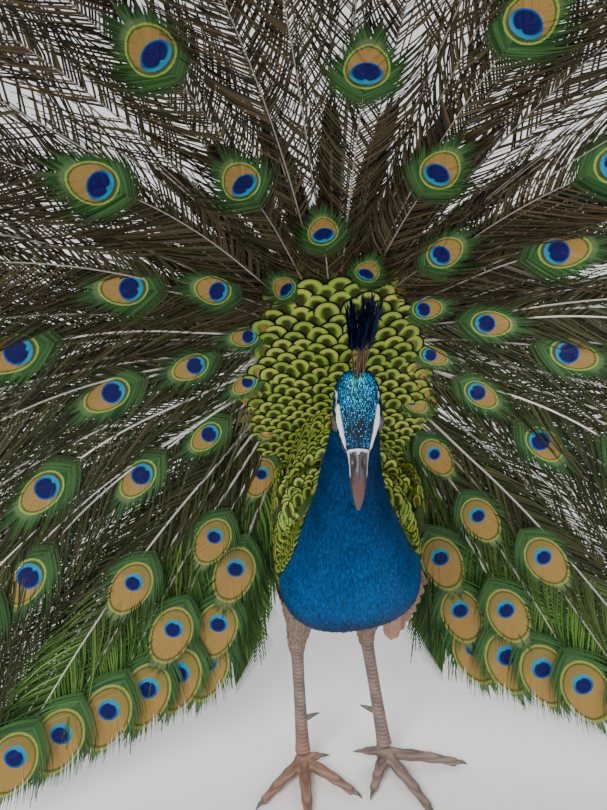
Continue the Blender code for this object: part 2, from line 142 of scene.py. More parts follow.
class finish:
    # a material and the few node calls that build it
    def __init__(self, name, roughness=0.5, metallic=0.0):
        self.material = bpy.data.materials.new(name)
        self.material.use_nodes = True
        self.tree = self.material.node_tree
        self.shader = self.tree.nodes["Principled BSDF"]
        self.socket("Roughness", roughness)
        self.socket("Metallic", metallic)

    def socket(self, name, value):
        self.shader.inputs[name].default_value = value

    def node(self, kind, **settings):
        made = self.tree.nodes.new(kind)
        for key, value in settings.items():
            setattr(made, key, value)
        return made

    def link(self, source, target):
        if isinstance(source, (int, float)):
            target.default_value = source
        elif isinstance(source, tuple):
            target.default_value = (*source, 1.0) if len(source) == 3 else source
        else:
            self.tree.links.new(source, target)

    def math(self, operation, a, b=0.0):
        made = self.node("ShaderNodeMath", operation=operation)
        for value, socket in zip((a, b), made.inputs):
            self.link(value, socket)
        return made.outputs[0]

    def times(self, a, b):
        return self.math("MULTIPLY", a, b)

    def plus(self, a, b):
        return self.math("ADD", a, b)

    def minus(self, a, b):
        return self.math("SUBTRACT", a, b)

    def square(self, a, size=1.0):
        return self.math("POWER", self.math("DIVIDE", a, size), 2.0)

    def root(self, a):
        return self.math("SQRT", a)

    def inside(self, value, start, end):
        return self.minus(1.0, self.step(value, start, end))

    def mix(self, factor, first, second, blend="MIX"):
        made = self.node("ShaderNodeMix", data_type="RGBA", blend_type=blend)
        made.clamp_factor = True
        self.link(factor, made.inputs[0])
        self.link(first, made.inputs[6])
        self.link(second, made.inputs[7])
        return made.outputs[2]

    def step(self, value, start, end):
        made = self.node("ShaderNodeMapRange", interpolation_type="SMOOTHSTEP")
        self.link(value, made.inputs[0])
        made.inputs[1].default_value = start
        made.inputs[2].default_value = end
        return made.outputs[0]

    def attribute(self, name, output="Fac"):
        return self.node("ShaderNodeAttribute", attribute_name=name).outputs[output]

    def uv(self, name):
        layer = self.node("ShaderNodeUVMap", uv_map=name)
        split = self.node("ShaderNodeSeparateXYZ")
        self.link(layer.outputs[0], split.inputs[0])
        return split.outputs[0], split.outputs[1]

    def noise(self, scale, detail=2.0):
        made = self.node("ShaderNodeTexNoise")
        made.inputs["Scale"].default_value = scale
        made.inputs["Detail"].default_value = detail
        self.link(self.node("ShaderNodeTexCoord").outputs["Object"], made.inputs["Vector"])
        return made.outputs["Fac"]

    def bump(self, height, strength=0.3, distance=0.001):
        made = self.node("ShaderNodeBump")
        made.inputs["Strength"].default_value = strength
        made.inputs["Distance"].default_value = distance
        self.link(height, made.inputs["Height"])
        self.link(made.outputs[0], self.shader.inputs["Normal"])

    def colour(self, source):
        self.link(source, self.shader.inputs["Base Color"])


print("tools ready")


# the fan that the train feathers stand on: angle from upright, distance along the feather

fan = {
    "root": (0.0, 0.150, 0.470), "turn": math.radians(4.5), "lean": math.radians(8.5),
    "arch": 0.50, "archRun": 0.19, "archEase": 0.10, "sideArch": 0.10,
    "droop": 1.30, "droopRun": 0.38,
    "reach": (1.30, 1.27, 1.19, 1.02, 0.62, 0.40), "halfAngle": math.radians(150),
    "faceWay": (0.0, -0.86, 0.51),
}


def fanPoint(angle, reach, front=0.0):
    steps = 24
    step = reach / steps
    flatX = flatZ = forward = 0.0
    for k in range(steps):
        s = (k + 0.5) * step
        turn = angle + fan["droop"] * np.sin(angle) * fan["droopRun"] * (1 - np.exp(-s / fan["droopRun"]))
        arch = (fan["arch"] + fan["sideArch"] * np.sin(angle / 2) ** 2) * (1 - np.exp(-s / fan["archRun"]))
        lean = arch - fan["archEase"] * ease((s - 0.55) / 0.55)
        flatX = flatX + step * np.cos(lean) * np.sin(turn)
        flatZ = flatZ + step * np.cos(lean) * np.cos(turn)
        forward = forward + step * np.sin(lean)
    x = flatX - np.sin(lean) * np.sin(turn) * front
    y = -forward - np.cos(lean) * front
    z = flatZ - np.sin(lean) * np.cos(turn) * front
    c, s = math.cos(fan["lean"]), math.sin(fan["lean"])
    y, z = y * c - z * s, y * s + z * c
    c, s = math.cos(fan["turn"]), math.sin(fan["turn"])
    x, y = x * c - y * s, x * s + y * c
    return np.stack(np.broadcast_arrays(x, y, z), axis=-1) + fan["root"]


def catmull(values, t):
    # a smooth curve through evenly numbered values; values may be rows of numbers
    values = np.asarray(values, float)
    if values.ndim == 1:
        values = values[:, None]
    t = np.clip(np.asarray(t, float), 0, len(values) - 1)
    i = np.minimum(t.astype(int), len(values) - 2)
    f = (t - i)[..., None]
    last = len(values) - 1
    p0, p1, p2, p3 = (values[np.clip(i + k, 0, last)] for k in (-1, 0, 1, 2))
    return 0.5 * (2 * p1 + (p2 - p0) * f + (2 * p0 - 5 * p1 + 4 * p2 - p3) * f ** 2
                  + (3 * p1 - p0 - 3 * p2 + p3) * f ** 3)


def fanReach(angle):
    return catmull(fan["reach"], np.abs(angle) / math.radians(30))[..., 0]


# train feathers

train = {
    "rings": (0.120, 0.190, 0.292, 0.405, 0.490, 0.580, 0.675, 0.775, 0.875, 0.975, 1.075, 1.170),
    "perTurn": (10, 10.5, 12, 11.5, 12, 15, 26, 30, 30, 39, 39, 39),
    "firstAt": (10, -7, -18, 0, -18, -35, 5, -2, 6, 0, 5, 0),  # degrees from upright
    "sideShrink": 0.19, "rimFeathers": 71, "rimAngle": math.radians(120.5),
    "fringeFrom": math.radians(122), "fringeStep": math.radians(5.7), "fringeSize": 0.0290,
    "spacing": 0.0046, "length": 0.100, "width": 0.00180, "run": 0.47, "layerStep": 0.0012, "eyeRaise": 0.0055,
}


def planTrain():
    # each feather: angle, distance to its eye, eye diameter, layer, kind (1 eyed, 0 fishtail)
    found = []
    for k, (ring, perTurn, first) in enumerate(zip(train["rings"], train["perTurn"], train["firstAt"])):
        pitch = 2 * math.pi / perTurn
        for n in range(-int(perTurn), int(perTurn)):
            angle = math.radians(first) + n * pitch + chance.normal(0, 0.010 if k < 5 else 0.025)
            if abs(angle) > fan["halfAngle"] - 0.02:
                continue
            side = math.sin(min(abs(angle), 1.6) * 0.98) ** 2
            reach = ring * (1 - train["sideShrink"] * side) * (1 + chance.normal(0, 0.010))
            reach = reach + 0.024 * (1 - side) * (k < 8)
            size = 0.0268 * (1 - math.exp(-(reach + 0.01) / 0.16))
            room = 1.0 if abs(angle) < 1.9 else 0.80
            if reach + (2.1 if room == 1.0 else 1.3) * size > float(fanReach(angle)) * room:
                continue
            found.append((angle, reach, size, k, 1))
    for n in range(train["rimFeathers"]):
        angle = ((n + 0.5 + chance.normal(0, 0.08)) / train["rimFeathers"] * 2 - 1) * train["rimAngle"]
        found.append((angle, float(fanReach(angle)) - 0.045, 0.025, 12, 0))
    for side in (-1, 1):  # the dense green fringe beside the legs
        for n in range(6):
            angle = train["fringeFrom"] + train["fringeStep"] * n - 0.03 * (side > 0) + chance.normal(0, 0.01)
            angle = min(angle, fan["halfAngle"] - 0.015)
            found.append((side * angle, float(fanReach(angle)) * 0.955 - 0.009, train["fringeSize"], n % 2 - 1, 1))
        for angle, reach in ((148.5, 0.262), (149.0, 0.330), (139.0, 0.352)):
            found.append((side * math.radians(angle), reach, 0.0250, -1, 1))
        for n in range(9):
            angle = train["fringeFrom"] + math.radians(3.3) * n + chance.normal(0, 0.012)
            found.append((side * angle, float(fanReach(angle)) - 0.050, 0.020, 6, 0))
        for n in range(4):
            found.append((side * math.radians(153.0 + 0.8 * n), 0.260 + 0.035 * n, 0.020, 8 + n % 2, 0))
    return np.array(found)


class featherLines:
    # centre line and frame of every feather, looked up by feather number and distance
    def __init__(self, angle, reach, front, turnFrom, turn, outward=1.0):
        self.start = 0.055
        self.samples = 56
        self.end = reach
        s = self.start + (reach[:, None] - self.start) * np.linspace(0, 1, self.samples)[None]
        lift = front[:, None] * ease((s - 0.07) / 0.12)
        q = s / reach[:, None]
        bend = angle[:, None] + (0.36 * np.sin(angle) * (np.abs(angle) < 1.9) * outward)[:, None] * (q * q - q)
        self.points = fanPoint(bend, s, lift)
        side = unit(fanPoint(bend + 0.01, s, lift) - fanPoint(bend - 0.01, s, lift))
        along = unit(np.gradient(self.points, axis=1))
        side = unit(side - along * (side * along).sum(-1, keepdims=True))
        out = np.cross(side, along)
        toward = np.array(fan["faceWay"]) - along * (along @ np.array(fan["faceWay"]))[..., None]
        amount = turn[:, None] * ease((s - turnFrom[:, None]) / 0.12)
        amount = (0.22 + amount)[..., None]
        out = unit(out * (1 - amount) + unit(toward) * amount)
        self.along, self.out = along, out
        self.side = np.cross(along, out)

    def at(self, which, distance):
        f = (distance - self.start) / (self.end[which] - self.start) * (self.samples - 1)
        i = np.clip(f.astype(int), 0, self.samples - 2)
        f = (f - i)[..., None]
        mix = lambda rows: rows[which, i] * (1 - f) + rows[which, i + 1] * f
        return mix(self.points), unit(mix(self.side)), unit(mix(self.along)), unit(mix(self.out))

    def world(self, which, x, y, z):
        centre, side, along, out = self.at(which, y)
        return centre + side * x[..., None] + out * z[..., None]


def sectorOf(angle):
    return np.clip(((angle + fan["halfAngle"]) / (2 * fan["halfAngle"]) * 8).astype(int), 0, 7)


def sectorName(n):
    return "left_%d" % (4 - n) if n < 4 else "right_%d" % (n - 3)


def barbs(lines, which, rootY, side, start, bend, length, width, lift, roll, shape, taper=0.25, up=0.0, late=False):
    # curved barbs growing from a feather's shaft, in the feather's own flat frame
    u, v = bladeAxes(shape)
    columns = [np.asarray(c, float)[:, None] for c in (rootY, side, start, bend, length, width, lift, roll)]
    rootY, side, start, bend, length, width, lift, roll = columns
    turned = start - bend * v / 2
    facing = start - bend * v
    half = width / 2 * (1 - (1 - taper) * (ease((v - 0.50) / 0.42) if late else v ** 1.5))
    x = length * v * np.sin(turned) + u * side * half * np.cos(facing)
    y = length * v * np.cos(turned) - u * side * half * np.sin(facing)
    z = lift * v ** 1.6 + u * side * half * roll + 0.0006 + np.reshape(up, (-1, 1))
    x, y, z = np.broadcast_arrays(x * side, y + rootY, z)
    points = lines.world(np.broadcast_to(which[:, None], x.shape), x, y, z)
    return points, x, y


def trainFinish():
    look = finish("trainBarbs", 0.45, 0.10)
    look.socket("Specular IOR Level", 0.18)
    x, y = look.uv("vane")
    away = look.minus(y, 0.2)
    reach = look.plus(look.times(look.math("GREATER_THAN", away, 0.0), 0.19), 0.86)
    egg = look.root(look.plus(look.square(x, 0.64), look.square(away, reach)))
    wobble = look.times(look.minus(look.noise(420.0), 0.5), 0.08)
    egg = look.plus(egg, wobble)
    ring = look.plus(look.root(look.plus(look.square(x, 0.515), look.square(y, 0.530))), wobble)
    heart = look.root(look.plus(look.square(x, 0.43), look.square(look.minus(y, 0.05), 0.42)))
    low = look.attribute("grassy")
    shrink = look.plus(look.times(low, 0.28), 1.0)
    ring, heart = look.times(ring, shrink), look.times(heart, look.plus(look.times(low, 0.40), 1.0))
    egg = look.times(egg, look.plus(look.times(low, -0.20), 1.0))
    notch = look.math("POWER", 2.718, look.times(look.square(x, 0.07), -1.0))
    heart = look.plus(heart, look.times(look.times(notch, look.inside(y, -0.30, -0.10)), 0.25))
    tone = look.attribute("tone")
    brown = look.mix(tone, (0.013, 0.009, 0.005), (0.080, 0.053, 0.025))
    olive = look.mix(tone, (0.009, 0.018, 0.005), (0.050, 0.074, 0.022))
    grass = look.mix(tone, (0.014, 0.054, 0.009), (0.110, 0.225, 0.034))
    plain = look.mix(look.attribute("leafy"), brown, olive)
    plain = look.mix(look.times(low, look.step(y, -8.0, -3.0)), plain, grass)
    green = look.mix(tone, (0.006, 0.022, 0.006), (0.040, 0.092, 0.022))
    near = look.mix(tone, (0.012, 0.050, 0.014), (0.050, 0.125, 0.034))
    colour = look.mix(look.step(egg, 1.6, 2.7), green, plain)
    colour = look.mix(look.inside(egg, 1.30, 1.90), colour, near)
    crescent = look.times(look.step(y, 0.45, 1.0), look.inside(egg, 1.22, 1.42))
    crescent = look.times(crescent, look.inside(look.math("ABSOLUTE", x), 0.2, 0.7))
    colour = look.mix(crescent, colour, (0.100, 0.150, 0.060))
    colour = look.mix(look.inside(egg, 1.08, 1.14), colour, look.mix(low, (0.240, 0.370, 0.060), (0.260, 0.260, 0.055)))
    colour = look.mix(look.inside(egg, 0.99, 1.05), colour, (0.085, 0.085, 0.016))
    bronze = look.mix(low, (0.045, 0.055, 0.014), (0.200, 0.150, 0.038))
    tan = look.mix(look.step(y, -0.45, 0.40), bronze, (0.300, 0.185, 0.050))
    colour = look.mix(look.inside(egg, 0.91, 0.97), colour, tan)
    cyan = look.mix(look.step(y, -0.30, 0.25), (0.0, 0.220, 0.370), (0.001, 0.075, 0.280))
    colour = look.mix(look.inside(ring, 0.96, 1.03), colour, cyan)
    colour = look.mix(look.inside(heart, 0.90, 1.08), colour, (0.003, 0.003, 0.075))
    rim = look.mix(look.times(look.step(y, -3.0, 0.5), 0.8), plain, green)
    look.colour(look.mix(look.attribute("eyed"), rim, colour))
    return look.material


def shaftFinish():
    look = finish("shaft", 0.40)
    tan = look.mix(look.attribute("tone"), (0.075, 0.050, 0.030), (0.740, 0.710, 0.640))
    look.colour(look.mix(look.step(look.attribute("along"), 0.0, 0.16), (0.12, 0.08, 0.05), tan))
    return look.material


def makeTrain():
    plan = planTrain()
    angle, eyeAt, size, layer, eyed = plan.T
    tip = np.where(eyed > 0, eyeAt + size * 1.58, eyeAt + 0.012)
    front = train["layerStep"] * (12 - layer) + chance.normal(0, 0.0007, len(plan))
    lines = featherLines(angle, tip + 0.001, front, eyeAt - 0.15, np.where(eyed > 0, 0.52, 0.2))
    sectors = sectorOf(angle)
    thread, leaf, stalk = bladeShape(1, 3), bladeShape(1, 6), bladeShape(2, 26)
    barbLook, shaftLook = trainFinish(), shaftFinish()
    sides = 0.6 * ease((np.abs(angle) - 0.4) / 1.1)
    stretch = 1.02 + 0.04 * np.cos(np.minimum(np.abs(angle), 1.57)) ** 2
    grassy = ease((np.abs(angle) - 1.95) / 0.25)
    counted = 0
    for n in range(8):
        name = sectorName(n)
        mine = np.nonzero(sectors == n)[0]
        parts = []
        # loose barbs below the eye
        which, rootY, side = [], [], []
        for f in mine:
            low = max(0.085, tip[f] - train["run"])
            high = eyeAt[f] - (1.2 * size[f] if eyed[f] else 0.055)
            spots = np.arange(high, low, -train["spacing"])
            for s in (-1, 1):
                which.append(np.full(len(spots), f))
                rootY.append(spots + chance.normal(0, 0.0006, len(spots)))
                side.append(np.full(len(spots), s))
        which, rootY, side = np.concatenate(which), np.concatenate(rootY), np.concatenate(side)
        below = (eyeAt[which] - rootY) / 0.30
        keep = chance.uniform(0, 1, len(which)) > 0.45 * ease((below - 0.6) / 0.6) * (1 - grassy[which])
        which, rootY, side, below = which[keep], rootY[keep], side[keep], below[keep]
        count = len(which)
        start = np.radians(42 - 8 * ease(below) + chance.normal(0, 1.8, count)
                           + chance.normal(0, 3.0, len(plan))[which])
        length = train["length"] * (0.62 + 0.38 * ease(rootY / 0.35)) * chance.uniform(0.85, 1.12, count)
        length = length * (1 - 0.18 * grassy[which])
        points, x, y = barbs(lines, which, rootY, side, start, np.radians(chance.normal(26, 3, count)), length,
                             train["width"] * (1 + 0.6 * ease((rootY - 0.62) / 0.3)), chance.normal(0, 0.0018, count),
                             chance.normal(0, 0.4, count), thread, 0.45)
        parts.append(("loose", thread, points, x, y, which, rootY, side))
        # close barbs of the eye, or of the fishtail
        which, share, side = [], [], []
        for f in mine:
            steps = 46 if eyed[f] else 30
            for s in (-1, 1):
                which.append(np.full(steps, f))
                share.append((np.arange(steps) + 0.5) / steps)
                side.append(np.full(steps, s))
        which, share, side = np.concatenate(which), np.concatenate(share), np.concatenate(side)
        count = len(which)
        has, d = eyed[which] > 0, size[which]
        rootY = np.where(has, eyeAt[which] + d * (-1.75 + 3.0 * share) * stretch[which],
                         eyeAt[which] - 0.055 + 0.066 * share)
        start = np.where(has, np.radians(60 - 52 * share ** 1.25), np.radians(52 - 30 * share))
        bend = np.where(has, np.radians(34 * (1 - share) + 2), np.radians(8.0))
        eyeBarb = 1.85 - 0.30 * share - 0.45 * (1 - share) ** 3 - 0.60 * share ** 2 * grassy[which]
        length = np.where(has, d * eyeBarb, 0.058 - 0.014 * share)
        length = length * np.where(has, chance.uniform(0.86, 1.30, count) + 0.5 * (1 - share) ** 2, 1.0)
        width = np.where(has, d * (0.040 + 0.064 * ease((share - 0.02) / 0.26)), 0.0026)
        raised = has * train["eyeRaise"] * (1 + 1.5 * grassy[which] * ease((eyeAt[which] - 0.17) / 0.06))
        points, x, y = barbs(lines, which, rootY, side, start, bend, length, width,
                             d * 0.12 + chance.normal(0, 0.0003, count), chance.normal(0, 0.12, count), leaf, 0.10,
                             raised, True)
        parts.append(("close", leaf, points, x, y, which, rootY, side))
        for label, shape, points, x, y, which, rootY, side in parts:
            vane = np.stack([x / size[which][:, None],
                             (y - eyeAt[which][:, None]) / (size * stretch)[which][:, None]], axis=2)
            width = 2 * fan["halfAngle"] / 8
            u = (angle[which] + fan["halfAngle"] - n * width) / width * 0.94 + 0.03 + side * 0.0016
            at = np.stack([u, rootY / 1.36], axis=1)
            count = len(which)
            layers = {"vane": vane, "tone": chance.uniform(0, 1, count), "eyed": eyed[which],
                      "leafy": np.clip(sides[which] + chance.normal(0, 0.25, count), 0, 1), "grassy": grassy[which]}
            mesh = layBlades("train_%s_%s" % (label, name), shape, points, at, layers)
            nodes = ["train_" + name] if label == "close" else []
            addPiece("trainBarbs_%s_%s" % (label, name), mesh, barbLook, "train", nodes)
            counted += len(mesh.polygons) * 2
            print("train %s %s: %d triangles" % (label, name, len(mesh.polygons) * 2))
        # shafts, in front of the loose barbs and behind the eye
        u, v = bladeAxes(stalk)
        along = 0.056 + (tip[mine][:, None] - 0.056) * v
        half = 0.00022 + (0.00065 + 0.0011 * sides[mine][:, None]) * (1 - along / 1.4) * (1 - v) ** 0.3
        under = ease((along - eyeAt[mine][:, None] + 1.9 * size[mine][:, None]) / 0.012)
        height = 0.0008 - 0.0020 * under * eyed[mine][:, None]
        points = lines.world(np.broadcast_to(mine[:, None], along.shape), u * half, along,
                             (1 - abs(u)) * half * 0.9 + height)
        at = np.stack([(angle[mine] + fan["halfAngle"]) / 5.3, 0.02 + 0 * mine], axis=1)
        pale = np.clip(chance.uniform(0.4, 1, len(mine)) * (0.32 + 1.4 * sides[mine]), 0, 1) * (1 - 0.3 * grassy[mine])
        mesh = layBlades("shafts_" + name, stalk, points, at, {"along": along, "tone": pale})
        addPiece("trainShafts_" + name, mesh, shaftLook, "quills")
        counted += len(mesh.polygons) * 2
    print("train:", len(plan), "feathers,", counted, "triangles")


makeTrain()


# body and head surfaces: place along, and angle round from the right side over the back

body = {
    "rows": (
        (0.006, -0.168, 0.626, 0.0155, 0.0180, 0.0180), (0.006, -0.152, 0.583, 0.0200, 0.0220, 0.0220),
        (0.005, -0.130, 0.527, 0.0262, 0.0270, 0.0270), (0.007, -0.106, 0.470, 0.0345, 0.0360, 0.0380),
        (0.010, -0.077, 0.410, 0.0470, 0.0480, 0.0540), (0.011, -0.040, 0.340, 0.0670, 0.0530, 0.0750),
        (0.011, 0.005, 0.318, 0.0725, 0.0700, 0.1080), (0.010, 0.050, 0.318, 0.0720, 0.0720, 0.1140),
        (0.008, 0.095, 0.330, 0.0640, 0.0700, 0.1060), (0.004, 0.140, 0.347, 0.0480, 0.0560, 0.0760),
        (0.002, 0.182, 0.354, 0.0300, 0.0360, 0.0400), (0.001, 0.212, 0.356, 0.0100, 0.0120, 0.0120)),
    "turn": 0.09, "roll": 0.11,
}
head = {
    "centre": (0.006, -0.187, 0.6165), "tilt": math.radians(41),
    "rows": (  # ahead of the eyes, over them, half width, up, down
        (-0.0430, -0.0060, 0.0045, 0.0060, 0.0060), (-0.0395, -0.0050, 0.0125, 0.0145, 0.0125),
        (-0.0300, -0.0035, 0.0178, 0.0190, 0.0170), (-0.0160, -0.0020, 0.0198, 0.0195, 0.0185),
        (-0.0050, -0.0015, 0.0200, 0.0180, 0.0180), (0.0060, -0.0020, 0.0180, 0.0150, 0.0160),
        (0.0160, -0.0030, 0.0140, 0.0115, 0.0125), (0.0240, -0.0040, 0.0102, 0.0090, 0.0095)),
    "eyeRadius": 0.0066, "eyeSide": 0.0146,
}


def oval(angle, power):
    c, s = np.cos(angle), np.sin(angle)
    return np.sign(c) * np.abs(c) ** (2 / power), np.sign(s) * np.abs(s) ** (2 / power)


def bodyFrame(t):
    # the row at a place along the body, and the directions aside and over it
    rows = catmull(body["rows"], t)
    step = catmull(body["rows"], t + 0.05) - catmull(body["rows"], t - 0.05)
    along = unit(np.stack([0 * t, step[..., 1], step[..., 2]], axis=-1))
    turned = ease((t - 2.0) / 2.5)
    side = np.stack([1 + 0 * t, body["turn"] * turned, body["roll"] * turned], axis=-1)
    side = unit(side - along * (side * along).sum(-1, keepdims=True))
    return rows, side, np.cross(side, along)


def bodyPoint(t, angle, swell=0.0):
    t, angle = np.broadcast_arrays(np.asarray(t, float), np.asarray(angle, float))
    rows, side, up = bodyFrame(t)
    over = np.sin(angle) > 0
    c, s = (np.where(over, a, b) for a, b in zip(oval(angle, 2.2), oval(angle, 2.5)))
    high = np.where(over, rows[..., 5], rows[..., 4]) + swell
    return rows[..., :3] + side * ((rows[..., 3] + swell) * c)[..., None] + up * (high * s)[..., None]


headWay = np.array([0.0, -math.cos(head["tilt"]), -math.sin(head["tilt"])])
headUp = np.array([0.0, -math.sin(head["tilt"]), math.cos(head["tilt"])])


def headPlace(ahead, over, side):
    ahead, over, side = np.broadcast_arrays(*(np.asarray(v, float) for v in (ahead, over, side)))
    return (np.array(head["centre"]) + ahead[..., None] * headWay + over[..., None] * headUp
            + side[..., None] * np.array([1.0, 0, 0]))


def headPoint(t, angle, swell=0.0):
    # t runs back from the bill (0) to the nape (7)
    t, angle = np.broadcast_arrays(np.asarray(t, float), np.asarray(angle, float))
    ahead, over, wide, up, down = np.moveaxis(catmull(head["rows"], 7 - t), -1, 0)
    c, s = oval(angle, 2.1)
    high = np.where(np.sin(angle) > 0, up, down) + swell
    return headPlace(ahead, over + s * high, c * (wide + swell))


def frameOn(surface, t, angle):
    # point, backward, round and outward directions on a surface
    point = surface(t, angle)
    along = unit(surface(t + 0.02, angle) - surface(t - 0.02, angle))
    around = unit(surface(t, angle + 0.02) - surface(t, angle - 0.02))
    out = unit(np.cross(along, around))
    return point, along, np.cross(out, along), out


def rowsOn(surface, start, end, pitch, low=lambda t: 0.0, high=lambda t: 2 * math.pi, wide=1.0):
    # roots in staggered rows, pitch apart, between two angles that may change along the surface
    found, t, odd = [], start, 0
    while t < end:
        angles = np.linspace(low(t), high(t), 73)
        ring = surface(np.full(73, t), angles)
        length = np.concatenate([[0], np.cumsum(np.linalg.norm(np.diff(ring, axis=0), axis=1))])
        gap = pitch(t)
        count = max(int(length[-1] / (gap * wide)), 1)
        spots = (np.arange(count) + 0.25 + 0.5 * odd + chance.normal(0, 0.13, count)) / count * length[-1]
        found.append(np.stack([t + chance.normal(0, 0.12, count) * gap * 10, np.interp(spots, length, angles)], axis=1))
        speed = np.linalg.norm(surface(t + 0.02, angles[::12]) - surface(t - 0.02, angles[::12]), axis=1).max() / 0.04
        t, odd = t + gap / speed, 1 - odd
    found = np.concatenate(found)
    return found[:, 0], found[:, 1]


def tufts(surface, t, angle, shape, length, width, rise, depth, curl=0.0, spread=0.12, crown=0.0):
    # small feathers lying back from their roots; rise is how steeply they stand, depth how far in they root
    point, along, around, out = frameOn(surface, t, angle)
    swing = chance.normal(0, spread, len(t))
    heading = along * np.cos(swing)[:, None] + around * np.sin(swing)[:, None]
    across = np.cross(out, heading)
    rise = rise + chance.normal(0, 0.03, len(t))
    u, v = bladeAxes(shape)
    length, width = np.broadcast_to(length, t.shape)[:, None], np.broadcast_to(width, t.shape)[:, None]
    outline = leafOutline(v)
    x = u * width / 2 * outline
    y = length * v * np.cos(rise)[:, None]
    z = length * (v * np.sin(rise)[:, None] - curl * v * v) - crown * width * u * u * outline - depth
    return (point[:, None] + heading[:, None] * y[..., None] + across[:, None] * x[..., None]
            + out[:, None] * z[..., None])


def leafOutline(v, tip=0.06):
    widening = np.clip(0.55 + 0.45 * np.sin(np.pi * np.minimum(v, 0.55) / 1.1), 0, 1)
    return widening * (1 - ease((v - 0.45) / 0.55) * (1 - tip))


def leafVane(shape, count):
    return np.broadcast_to(shape[0][None], (count,) + shape[0].shape)


# limbs: a round surface along a path

def limb(path, radii, upright=True):
    path, radii = np.array(path, float), np.array(radii, float)
    aside = np.array([0.0, 1.0, 0.0]) if upright else np.array([0.0, 0.0, 1.0])

    def surface(t, angle):
        t, angle = np.broadcast_arrays(np.asarray(t, float), np.asarray(angle, float))
        along = unit(catmull(path, t + 0.05) - catmull(path, t - 0.05))
        side = unit(np.cross(along, aside))
        up = np.cross(side, along)
        size = catmull(radii, t)
        return catmull(path, t) + side * size * np.cos(angle)[..., None] + up * size * np.sin(angle)[..., None]

    return surface


leg = {
    "hock": {"left": (-0.042, 0.064, 0.152), "right": (0.036, 0.078, 0.152)},
    "ankle": {"left": (-0.035, 0.017, 0.017), "right": (0.060, 0.027, 0.017)},
    "toes": {"left": ((-0.089, -0.047), (-0.028, -0.083), (0.032, -0.031)),
             "right": ((0.156, 0.018), (0.112, -0.058), (0.040, -0.034))},
    "hind": {"left": (-0.006, 0.026, 0.011), "right": (0.021, 0.022, 0.021)},
    "midline": 0.010, "hipSide": 0.039, "shank": 0.0071, "toe": 0.0059,
}


def hockAndHip(name):
    hock = np.array(leg["hock"][name])
    return hock, np.array([leg["midline"] + math.copysign(leg["hipSide"], hock[0]), hock[1] - 0.034, 0.300])


def toeLine(name, tip):
    # a toe's tip on the floor, and its direction out from the ankle
    tip = np.array([tip[0], tip[1], 0.0])
    return tip, unit(tip - np.array(leg["ankle"][name]) * (1, 1, 0))


def thighSurface(name):
    hock, hip = hockAndHip(name)
    path = [hip + (hock - hip) * t for t in (0.0, 0.25, 0.5, 0.75, 0.95)]
    return limb(path, (0.036, 0.032, 0.023, 0.0150, 0.0108))


def armLine(side):
    t = np.linspace(0, 1, 6)
    rows = catmull(body["rows"], 6.10 + 1.75 * t)
    middle = np.stack([rows[:, 0] + side * rows[:, 3] * 0.96, rows[:, 1], rows[:, 2] + 0.044 - 0.022 * t], axis=1)
    return middle, 0.008 + 0.036 * np.sin(np.pi * (0.12 + 0.72 * t)) ** 0.8


def armSurface(side):
    middle, tall = armLine(side)

    def surface(k, angle):
        k, angle = np.broadcast_arrays(np.asarray(k, float), np.asarray(angle, float))
        centre, high = catmull(middle, k), catmull(tall, k)[..., 0]
        return centre + np.stack([0.0070 * np.cos(angle), 0 * k, high * np.sin(angle)], axis=-1)

    return surface


def closedShell(surface, start, end, along, around):
    # a closed skin over a surface that runs round and back
    bm = bmesh.new()
    bmesh.ops.create_grid(bm, x_segments=around, y_segments=along, size=0.5)
    bm.verts.index_update()
    flat = np.array([v.co[:2] for v in bm.verts]) + 0.5
    points = surface(start + (end - start) * flat[:, 1], 2 * math.pi * flat[:, 0])
    place(bm, points)
    bmesh.ops.remove_doubles(bm, verts=bm.verts, dist=1e-6)
    bmesh.ops.holes_fill(bm, edges=bm.edges, sides=0)
    bmesh.ops.recalc_face_normals(bm, faces=bm.faces)
    return bm


def softened(bm, verts):
    bmesh.ops.smooth_vert(bm, verts=verts, factor=0.5, use_axis_x=True, use_axis_y=True, use_axis_z=True)


def remeshed(shells, voxel, smooth):
    # several closed shells made into one skin
    whole = bmesh.new()
    for bm in shells:
        mesh = bpy.data.meshes.new("shell")
        bm.to_mesh(mesh)
        bm.free()
        whole.from_mesh(mesh)
        bpy.data.meshes.remove(mesh)
    mesh = bpy.data.meshes.new("union")
    whole.to_mesh(mesh)
    whole.free()
    thing = linked("union", mesh)
    modifier = thing.modifiers.new("voxels", "REMESH")
    modifier.mode = "VOXEL"
    modifier.voxel_size = voxel
    bpy.context.view_layer.update()
    made = bpy.data.meshes.new_from_object(thing.evaluated_get(bpy.context.evaluated_depsgraph_get()))
    bpy.data.objects.remove(thing)
    bm = bmesh.new()
    bm.from_mesh(made)
    bpy.data.meshes.remove(made)
    for _ in range(smooth):
        softened(bm, bm.verts)
    return bm


# markings, the same for skin and coat

blues = {"deep": (0.0002, 0.012, 0.042), "bright": (0.0002, 0.078, 0.250), "teal": (0.0004, 0.070, 0.110)}
face = {  # lines on one side of the head: ahead of the eye, over it, out from the middle, half width
    "brow": ((0.026, -0.001, 0.0095, 0.0015), (0.014, 0.0045, 0.0125, 0.0020), (0.002, 0.0085, 0.0150, 0.0026),
             (-0.010, 0.0095, 0.0160, 0.0022)),
    "cheek": ((0.022, -0.006, 0.0105, 0.0018), (0.010, -0.0095, 0.0155, 0.0028), (-0.003, -0.0110, 0.0175, 0.0030),
              (-0.013, -0.0070, 0.0190, 0.0016)),
    "spot": ((-0.017, 0.0075, 0.0165, 0.0020), (-0.022, 0.006, 0.0165, 0.0015)),
    "lore": ((0.025, -0.004, 0.0095, 0.0016), (0.009, 0.000, 0.0155, 0.0020)),
}


def headLocal(points):
    local = points - np.array(head["centre"])
    return local @ headWay, local @ headUp, local[..., 0]


